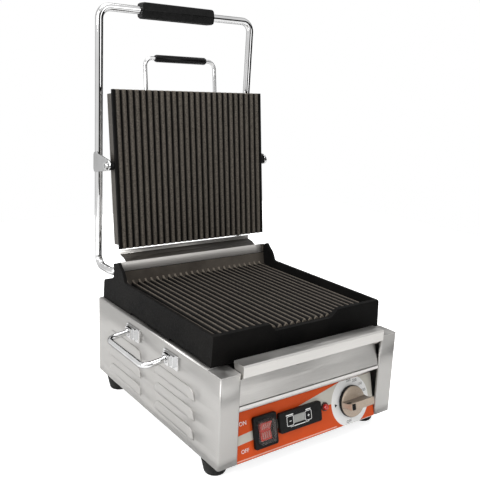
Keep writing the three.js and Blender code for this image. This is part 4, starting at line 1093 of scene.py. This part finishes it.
# Its top, between the front face and the rear upstand, is painted dark: painted shade and dark reflection
# inside the trough.
SHADE_FROM, SHADE_TO = 141, 161.6
painted_shade_steel = finish("heat_tinted_steel", Metallic=0.6)
tint = pattern(painted_shade_steel, 1.0, 3.0, (40, 400, 400))
brown = shades(painted_shade_steel, tint, (NOISE_LOW, (0.05, 0.044, 0.038)), (NOISE_HIGH, (0.1, 0.09, 0.078)))
drive(painted_shade_steel, Base_Color=brown, Roughness=between(painted_shade_steel, tint, 0.35, 0.55))
relief(painted_shade_steel, tint, 0.15, 0.0003)


def cover_sheet(rows, low, high):
    return sheet_grid(rows, [low, high], lambda row, x: (x, row.x, row.y))


SHEET_HALF, WING_HALF, WING_BACK = 130.6, 144.8, 147.9
wing_rows = [row for row in cover_line if row.x <= WING_BACK]
hinge_whole = merged(cover_sheet(cover_line, -SHEET_HALF, SHEET_HALF),
                     cover_sheet(wing_rows, -WING_HALF, -SHEET_HALF),
                     cover_sheet(wing_rows, SHEET_HALF, WING_HALF))
bmesh.ops.remove_doubles(hinge_whole, verts=hinge_whole.verts, dist=0.001)
for face in hinge_whole.faces:
    face.normal_update()
    if face.normal.z < 0 or (abs(face.normal.z) < 0.1 and face.normal.y > 0):
        face.normal_flip()
    face.material_index = int(SHADE_FROM < face.calc_center_median().y < SHADE_TO)
thicken(place_piece("hinge_cover_sheet", hinge_whole, HOUSING, [cover_steel, painted_shade_steel], "base",
                    "stainless", "hinge_cover"), 1.2)


def coil_spring():
    """A closed-wound spring: a spiral with a round wire swept along it."""
    tree, given = geometry_tree("coil_spring", {
        "Turns": "Float", "Coil Radius": "Float", "Length": "Float", "Wire Radius": "Float",
        "Material": "Material"})
    spiral = tree_node(tree, "GeometryNodeCurveSpiral", {
        "Resolution": 28, "Rotations": given["Turns"], "Start Radius": given["Coil Radius"],
        "End Radius": given["Coil Radius"], "Height": given["Length"]})["Curve"]
    circle = tree_node(tree, "GeometryNodeCurvePrimitiveCircle", {
        "Resolution": 10, "Radius": given["Wire Radius"]})
    wire = tree_node(tree, "GeometryNodeCurveToMesh", {
        "Curve": spiral, "Profile Curve": circle["Curve"], "Fill Caps": True})["Mesh"]
    finish_tree(tree, wire, given["Material"])
    return tree


spring_tree = coil_spring()
spring_steel = plated_steel("spring_steel", (0.16, 0.16, 0.16), (0.27, 0.27, 0.27))
SPRING_LENGTH = 37.8
SPRING_TURNS = 9.0
SPRING_END = 85
COIL_RADIUS = 9.5
WIRE_RADIUS = 1.6
SHAFT = (155, 178)
LEG_FOOT = 152
for side, sign in (("left", -1), ("right", 1)):
    coil = grow(spring_tree, Turns=SPRING_TURNS, Coil_Radius=COIL_RADIUS, Length=SPRING_LENGTH,
                Wire_Radius=WIRE_RADIUS, Material=spring_steel)
    coil_start = min(sign * SPRING_END, sign * (SPRING_END - SPRING_LENGTH))
    coil.transform(HOUSING @ Matrix.Translation((coil_start, *SHAFT)) @ Matrix.Rotation(math.pi / 2, 4, "Y"))
    place_mesh(f"coil_{side}", coil, "base", "zinc_steel", f"torsion_spring_{side}")
    leg_at = (sign * SPRING_END, SHAFT[0] + COIL_RADIUS)
    leg = rod([(*leg_at, SHAFT[1]), (*leg_at, LEG_FOOT)], WIRE_RADIUS, 12)
    place_piece(f"coil_leg_{side}", leg, HOUSING, spring_steel, "base", "zinc_steel")

# ---- Carrying handles ----
# Each is a round steel rod, bent at both ends and chromed. Its ends go through collars into two
# stepped chromed castings, which are screwed to the side panel.
chrome = coloured("chrome", 25, (0.7, 0.7, 0.7), (0.82, 0.82, 0.82), 2.0, Metallic=1.0,
                  Specular_Tint=(0.12, 0.12, 0.12, 1))
roughen(chrome, 60, 0.03, 0.06, 3.0)
grain(chrome, 45, 0.02, 0.00005, 1.0)
HANDLE_HALF = 57.5
HANDLE_MIDDLE = -7
HANDLE_HEIGHT = 116
LEG_OUT, BAR_OUT = HALF_WIDTH + 8, HALF_WIDTH + 45
BAR_HEIGHT = HANDLE_HEIGHT - 5.5
CARRY_ROD_RADIUS = 4.1
COLLAR_RADIUS = 5.6
ROD_BEND = 13
MOUNT_STEPS = (dict(out=4, half=20, low=-14, high=7, corner=1.5),
               dict(out=8, half=13, low=-11, high=6.6, corner=1),
               dict(out=12, half=8, low=-9, high=6.5, corner=1))


def mount_step(sign, y, out, half, low, high, corner):
    """One step of a casting, from the wall out, with rounded corners."""
    low, high = HANDLE_HEIGHT + low, HANDLE_HEIGHT + high
    outline = bent([(y - half, low), (y + half, low), (y + half, high), (y - half, high)], corner, 3, True)
    return extruded(outline, "x", *sorted((sign * (HALF_WIDTH + 0.3), sign * (HALF_WIDTH + out))))


for side, sign in (("left", -1), ("right", 1)):
    front_y, rear_y = HANDLE_MIDDLE - HANDLE_HALF, HANDLE_MIDDLE + HANDLE_HALF
    path = bent([(sign * LEG_OUT, front_y, HANDLE_HEIGHT), (sign * BAR_OUT, front_y, BAR_HEIGHT),
                 (sign * BAR_OUT, rear_y, BAR_HEIGHT), (sign * LEG_OUT, rear_y, HANDLE_HEIGHT)], ROD_BEND, 12)
    place_piece(f"carry_rod_{side}", rod(path, CARRY_ROD_RADIUS, 32), HOUSING, chrome, "base", "chrome",
                f"side_handle_{side}")
    for end, y in (("front", front_y), ("rear", rear_y)):
        mount = merged(*(mount_step(sign, y, **step) for step in MOUNT_STEPS))
        soften(place_piece(f"handle_seat_{side}_{end}", mount, HOUSING, chrome, "base", "chrome",
                           f"handle_mount_{side}_{end}"), 0.7, 3)
        collar = rod([(sign * (HALF_WIDTH + 11.5), y, HANDLE_HEIGHT - 0.5),
                      (sign * (HALF_WIDTH + 15.5), y, HANDLE_HEIGHT - 1)], COLLAR_RADIUS, 28)
        soften(place_piece(f"handle_collar_{side}_{end}", collar, HOUSING, chrome, "base", "chrome"), 0.5)

# ---- Arm ----
# One chromed tube runs from the hinge up both sides and across the top. A hexagonal black grip is
# pushed along the top, and a welded plate at each side holds the platen's pivot.
ARM_RADIUS = 6.2
ARM_BEND = 18
ARM_HALF = 145.5
ARM_END = 118
ARM_FOOT = (216, 178)
ARM_TOP = (203.5, 595.2)
left_arm = [(-ARM_END, *SHAFT), (-ARM_HALF, *SHAFT), (-ARM_HALF, *ARM_FOOT), (-ARM_HALF, *ARM_TOP)]
arm_path = bent(left_arm + [(-x, y, z) for x, y, z in reversed(left_arm)], ARM_BEND, 14)
place_piece("arm_bar", rod(arm_path, ARM_RADIUS, 40), HOUSING, chrome, "arm", "chrome", "arm_tube")


def long_grip(section, half_length, chamfer, inset):
    """A moulded grip: one section along x, drawn in at both ends."""
    shape = bmesh.new()
    loops = []
    for along, factor in ((-half_length, 1 - inset), (chamfer - half_length, 1),
                          (half_length - chamfer, 1), (half_length, 1 - inset)):
        loops.append([shape.verts.new((along, y * factor, z * factor)) for y, z in section])
    count = len(section)
    for low, high in zip(loops, loops[1:]):
        for i in range(count):
            j = (i + 1) % count
            shape.faces.new((low[i], low[j], high[j], high[i]))
    shape.faces.new(loops[0])
    shape.faces.new(loops[-1])
    bmesh.ops.recalc_face_normals(shape, faces=shape.faces)
    return shape


hexagon = bent([(-9.5, -12.5), (9.5, -12.5), (12.5, 0), (9.5, 12.5), (-9.5, 12.5), (-12.5, 0)], 2.4, 5, True)
grip_plastic = coloured("grip_plastic", 140, (0.004, 0.004, 0.004), (0.009, 0.009, 0.009),
                        Specular_IOR_Level=0.14)
roughen(grip_plastic, 260, 0.12, 0.2)
grain(grip_plastic, 900, 0.08, 0.0001, 3.0)
GRIP_MIDDLE = -7
grip_at = HOUSING @ Matrix.Translation((GRIP_MIDDLE, *ARM_TOP))
soften(place_piece("hex_grip", long_grip(hexagon, 68.5, 4, 0.16), grip_at, grip_plastic, "arm",
                   "black_plastic", "arm_grip"), 0.5)

PIVOT = (158.5, 352.8)
BRACKET_INSIDE, BRACKET_OUTSIDE = 152, 155
PLATE_FOOT, PLATE_TOP = 336, 371


def arm_y(height):
    """How far back the leaning leg is at a height."""
    return ARM_FOOT[0] + (ARM_TOP[0] - ARM_FOOT[0]) * (height - ARM_FOOT[1]) / (ARM_TOP[1] - ARM_FOOT[1])


plate_outline = bent([(PIVOT[0] - 9, PIVOT[1] - 6), (arm_y(PLATE_FOOT), PLATE_FOOT),
                      (arm_y(PLATE_TOP), PLATE_TOP), (PIVOT[0] - 8, PIVOT[1] + 9)], 6, 6, True)
for side, sign in (("left", -1), ("right", 1)):
    plate = extruded(plate_outline, "x", *sorted((sign * BRACKET_INSIDE, sign * BRACKET_OUTSIDE)))
    soften(place_piece(f"pivot_plate_{side}", plate, HOUSING, chrome, "arm", "chrome",
                       f"pivot_bracket_{side}"), 0.6, 3)
    bead = [(sign * (BRACKET_INSIDE - 0.6), arm_y(height) - 2.5 + 0.5 * math.sin(height * 1.9), height)
            for height in range(PLATE_FOOT + 5, PLATE_TOP - 3)]
    place_piece(f"weld_bead_{side}", rod(bead, 1.3, 10), HOUSING, chrome, "arm", "chrome")

# ---- Upper platen ----
# A second ribbed casting hangs between the arm's plates. It leans back a little when the press is
# open, and swings parallel to the griddle as it closes.
PLATEN_LEAN = math.radians(-6)
PLATEN = HOUSING @ Matrix.Translation((0, *PIVOT)) @ Matrix.Rotation(PLATEN_LEAN, 4, "X")
PLATE_HALF = 144.1
PLATE_LOW, PLATE_HIGH = -133.2, 118
PLATE_BACK, PLATE_FACE, EDGE_FACE = -4.2, -6.2, -9.7
EDGE_WIDTH = 4.6
UPPER_PITCH = RIB_PITCH + 0.06
right_edge = [(PLATE_HALF - EDGE_WIDTH, PLATE_FACE), (PLATE_HALF - EDGE_WIDTH, EDGE_FACE),
              (PLATE_HALF, EDGE_FACE), (PLATE_HALF, PLATE_BACK)]
plate_section = [(-x, y) for x, y in reversed(right_edge)] + right_edge
boss = block((-130, 130), (-5.7, -0.5), (-122.5, 107.3))
platen_casting = merged(extruded(plate_section, "z", PLATE_LOW, PLATE_HIGH), boss)
soften(place_piece("platen_casting", platen_casting, PLATEN, iron, "platen", "cast_iron",
                   "upper_plate"), 0.7, 3)
plate_rib_iron = cast_iron("platen_ribs", (0.006, 0.006, 0.0055), (0.013, 0.012, 0.011),
                           (0.125, 0.11, 0.092))
upper_ribs = copied(rib_shape(PLATE_HIGH - PLATE_LOW, 4.7, 2.5, RIB_HEIGHT, 0.4),
                    PLATEN @ Matrix.Translation((0, PLATE_FACE, (PLATE_LOW + PLATE_HIGH) / 2)) @ STANDING,
                    plate_rib_iron, (-half_row * UPPER_PITCH, 0, 0), RIB_COUNT, (UPPER_PITCH, 0, 0))
place_mesh("platen_ribs", upper_ribs, "platen", "cast_iron")

# ---- Platen cover and heater ----
# A pressed stainless box closes the back of the platen over its element, a clamping plate and
# a mat of mineral wool.
COVER_HALF = 142
COVER_LOW, COVER_HIGH = -127.5, 112.3
COVER_FRONT, COVER_BACK = -3.9, 20.7
COVER_CORNER = 8
COVER_SHEET = 1.2
box_steel = brushed_steel("stainless_platen", GRAIN_ALONG_Z, STEEL_DARK, STEEL_LIGHT)


def cover_section(inset, front):
    """The box's outline seen along its length: open at the front, with round rear corners."""
    half, back = COVER_HALF - inset, COVER_BACK - inset
    return bent([(half, front), (half, back), (-half, back), (-half, front)], COVER_CORNER - inset, 8)


cover_inside = extruded(cover_section(COVER_SHEET, COVER_FRONT - 0.5), "z", COVER_LOW + COVER_SHEET,
                        COVER_HIGH - COVER_SHEET)
cover_box = carved(extruded(cover_section(0, COVER_FRONT), "z", COVER_LOW, COVER_HIGH), [cover_inside])
# The box's sides take the dark steel as painted shade and dark reflection.
for face in cover_box.faces:
    face.normal_update()
    face.material_index = int(abs(face.normal.x) > 0.7)
soften(place_piece("platen_box", cover_box, PLATEN, [box_steel, painted_shade_steel], "platen", "stainless",
                   "upper_cover"), 1.0, 3)
element_at = PLATEN @ Matrix.Translation((0, 3.8, -8)) @ STANDING
place_piece("upper_heater", heating_element(115, 90, 0, 8), element_at, sheath, "platen", "heater_sheath",
            "upper_element")
refined("upper_clamp_plate", zinc, "platen", "zinc_steel", 0.3)
wool = finish("mineral_wool", Roughness=0.95, Sheen_Weight=0.3)
fibres = pattern(wool, 1.0, 6.0, (900, 900, 90))
drive(wool, Base_Color=shades(wool, fibres, (NOISE_LOW, (0.42, 0.4, 0.33)), (NOISE_HIGH, (0.62, 0.6, 0.52))))
relief(wool, fibres, 0.6, 0.001)
refined("upper_insulation", wool, "platen", "wool", 1.5)
box_screws = copied(screw_head(), PLATEN, screw_chrome, (-110, COVER_BACK - 0.1, -105), 2, (220, 0, 0),
                    2, (0, 0, 190))
place_mesh("platen_screws", box_screws, "platen", "zinc_steel")

# ---- Pivots ----
# The platen hangs on two plated socket-head bolts, one through each plate of the arm into the
# casting's side. A turned black bush spaces the casting from each plate.
bolt_profile = [(0, 157), (2.7, 157), (2.7, 158.9), (3.4, 159), (5.9, 159), (6.5, 158.4), (6.5, 155.3),
                (3.5, 155.3), (3.5, 136), (0, 136)]
bush_profile = [(3.8, 144.4), (6.6, 144.4), (7, 144.8), (7, 151), (6.6, 151.6), (3.8, 151.6), (3.8, 144.4)]
for side, sign in (("left", -1), ("right", 1)):
    pivot_at = PLATEN @ Matrix.Rotation(sign * math.pi / 2, 4, "Y")
    place_piece(f"socket_bolt_{side}", turned(bolt_profile, 36), pivot_at, screw_chrome, "platen",
                "zinc_steel", f"pivot_bolt_{side}")
    place_piece(f"bush_{side}", turned(bush_profile, 36), pivot_at, black_plastic, "platen",
                "black_plastic", f"pivot_spacer_{side}")

# ---- Platen handle ----
# A thin chromed rod, bent like a staple, is held to the back of the box by four plated clips. A
# round black sleeve is pushed along its top, to tilt the platen by.
LIFT_ROD_RADIUS = 3.1
ROD_HALF = 67.7
ROD_Y = 24.1
ROD_FOOT = 60
HANDLE_TOP = 172.5
rod_path = bent([(-ROD_HALF, ROD_Y, ROD_FOOT), (-ROD_HALF, ROD_Y, HANDLE_TOP), (ROD_HALF, ROD_Y, HANDLE_TOP),
                 (ROD_HALF, ROD_Y, ROD_FOOT)], ROD_BEND, 12)
place_piece("lifting_rod", rod(rod_path, LIFT_ROD_RADIUS, 28), PLATEN, chrome, "platen", "chrome",
            "platen_handle")
SLEEVE_RADIUS = 6
around = [2 * math.pi * i / 36 for i in range(36)]
sleeve_ring = [(SLEEVE_RADIUS * math.cos(angle), SLEEVE_RADIUS * math.sin(angle)) for angle in around]
sleeve = long_grip(sleeve_ring, 49.2, 2.5, 0.22)
place_piece("lifting_sleeve", sleeve, PLATEN @ Matrix.Translation((0, ROD_Y, HANDLE_TOP)), grip_plastic,
            "platen", "black_plastic", "platen_handle_grip")
clips = [block((x - 7, x + 7), (COVER_BACK + 0.05, COVER_BACK + 0.9), (z - 3, z + 3))
         for x in (-ROD_HALF, ROD_HALF) for z in (68, 96)]
soften(place_piece("rod_clips", merged(*clips), PLATEN, zinc, "platen", "zinc_steel"), 0.3)

# ---- Studio ----
# A pale matt floor carries the press's shadow. It glows only to the camera, so that it looks as
# white as the room round it and leaves no horizon.
FLOOR_SIZE = 3
FLOOR_GLOW = 0.7
floor_shape = bmesh.new()
bmesh.ops.create_grid(floor_shape, x_segments=1, y_segments=1, size=FLOOR_SIZE / 2)
floor_mesh = bpy.data.meshes.new("studio_floor")
floor_shape.to_mesh(floor_mesh)
floor_shape.free()
floor_paint = finish("floor_paint", Base_Color=(0.8, 0.8, 0.8, 1), Roughness=0.9,
                     Emission_Color=(1, 1, 1, 1))
straight_view = add_node(floor_paint, "ShaderNodeLightPath").outputs["Is Camera Ray"]
drive(floor_paint, Emission_Strength=between(floor_paint, straight_view, 0, FLOOR_GLOW, 0, 1))
floor_mesh.materials.append(floor_paint)
studio_floor = bpy.data.objects.new("studio_floor", floor_mesh)
bpy.context.collection.objects.link(studio_floor)

# ---- Camera ----
# It looks at the press from beyond its front left corner and from a little above, through a lens
# near 50 mm. It is rolled by a small angle.
VIEW_TURN = math.radians(-36.132)
VIEW_RISE = math.radians(13.334)
VIEW_ROLL = math.radians(2.374)
CAMERA_AT = (-0.58976, -0.80921, 0.5084)
FOCAL_LENGTH = 49.34
toward_camera = Vector((math.sin(VIEW_TURN) * math.cos(VIEW_RISE),
                        -math.cos(VIEW_TURN) * math.cos(VIEW_RISE), math.sin(VIEW_RISE)))
level = Vector((0, 0, 1)).cross(toward_camera).normalized()
upright = toward_camera.cross(level)
across = math.cos(VIEW_ROLL) * level + math.sin(VIEW_ROLL) * upright
upward = -math.sin(VIEW_ROLL) * level + math.cos(VIEW_ROLL) * upright
lens = bpy.data.cameras.new("camera")
lens.lens = FOCAL_LENGTH
lens.sensor_width = 36
camera = bpy.data.objects.new("camera", lens)
bpy.context.collection.objects.link(camera)
turn = Matrix((across, upward, toward_camera)).transposed().to_4x4()
camera.matrix_world = Matrix.Translation(CAMERA_AT) @ turn
bpy.context.scene.camera = camera

# ---- Room and lights ----
# The room is white to the camera. The chrome sees it pale grey, with dark drapes hung low along part
# of its walls. Three soft lights stand above, at the left and in front.
world = bpy.data.worlds.new("studio")
bpy.context.scene.world = world
world.use_nodes = True
toward = add_node(world, "ShaderNodeTexCoord").outputs["Generated"]


def along(direction):
    """How far each of the room's rays points along a direction."""
    dot = add_node(world, "ShaderNodeVectorMath", {0: toward, 1: direction}, operation="DOT_PRODUCT")
    return dot.outputs["Value"]


bearing = add_node(world, "ShaderNodeMath", {0: along(level), 1: along(toward_camera * Vector((1, 1, 0)))},
                   operation="ARCTAN2").outputs[0]
DRAPES = ((0.0, 0.02), (0.09, 0.02), (0.12, 0.85), (0.46, 0.85), (0.51, 0.7), (0.54, 0.02), (1.0, 0.02))
DRAPES_TOP = (0.25, 0.45)
WALL_GREY = (0.85, 0.85, 0.85, 1)
WHITE = (1, 1, 1, 1)
round_room = between(world, bearing, 0, 1, -math.pi, math.pi)
drapes = shades(world, round_room, *((position, (shade, shade, shade)) for position, shade in DRAPES))
hung = blended(world, between(world, along((0, 0, 1)), 0, 1, *DRAPES_TOP), drapes, WALL_GREY)
seen = add_node(world, "ShaderNodeLightPath").outputs["Is Camera Ray"]
backdrop = blended(world, seen, hung, WHITE)
world.node_tree.links.new(backdrop, world.node_tree.nodes["Background"].inputs["Color"])


def soft_light(name, location, target, size, power):
    light = bpy.data.lights.new(name, "AREA")
    light.shape = "RECTANGLE"
    light.size, light.size_y = size
    light.energy = power
    lamp = bpy.data.objects.new(name, light)
    lamp.location = location
    lamp.rotation_euler = (Vector(target) - Vector(location)).to_track_quat("-Z", "Y").to_euler()
    bpy.context.collection.objects.link(lamp)


bpy.context.scene.view_settings.view_transform = "Standard"
soft_light("overhead", (-0.3, 0.3, 2.4), (0, 0, 0.2), (1.8, 1.4), 36)
soft_light("left_window", (-2.2, -0.5, 1.4), (0, 0, 0.25), (0.7, 1.4), 34)
soft_light("front_fill", (0.9, -2.4, 1.0), (0, 0, 0.25), (0.9, 1.4), 9)
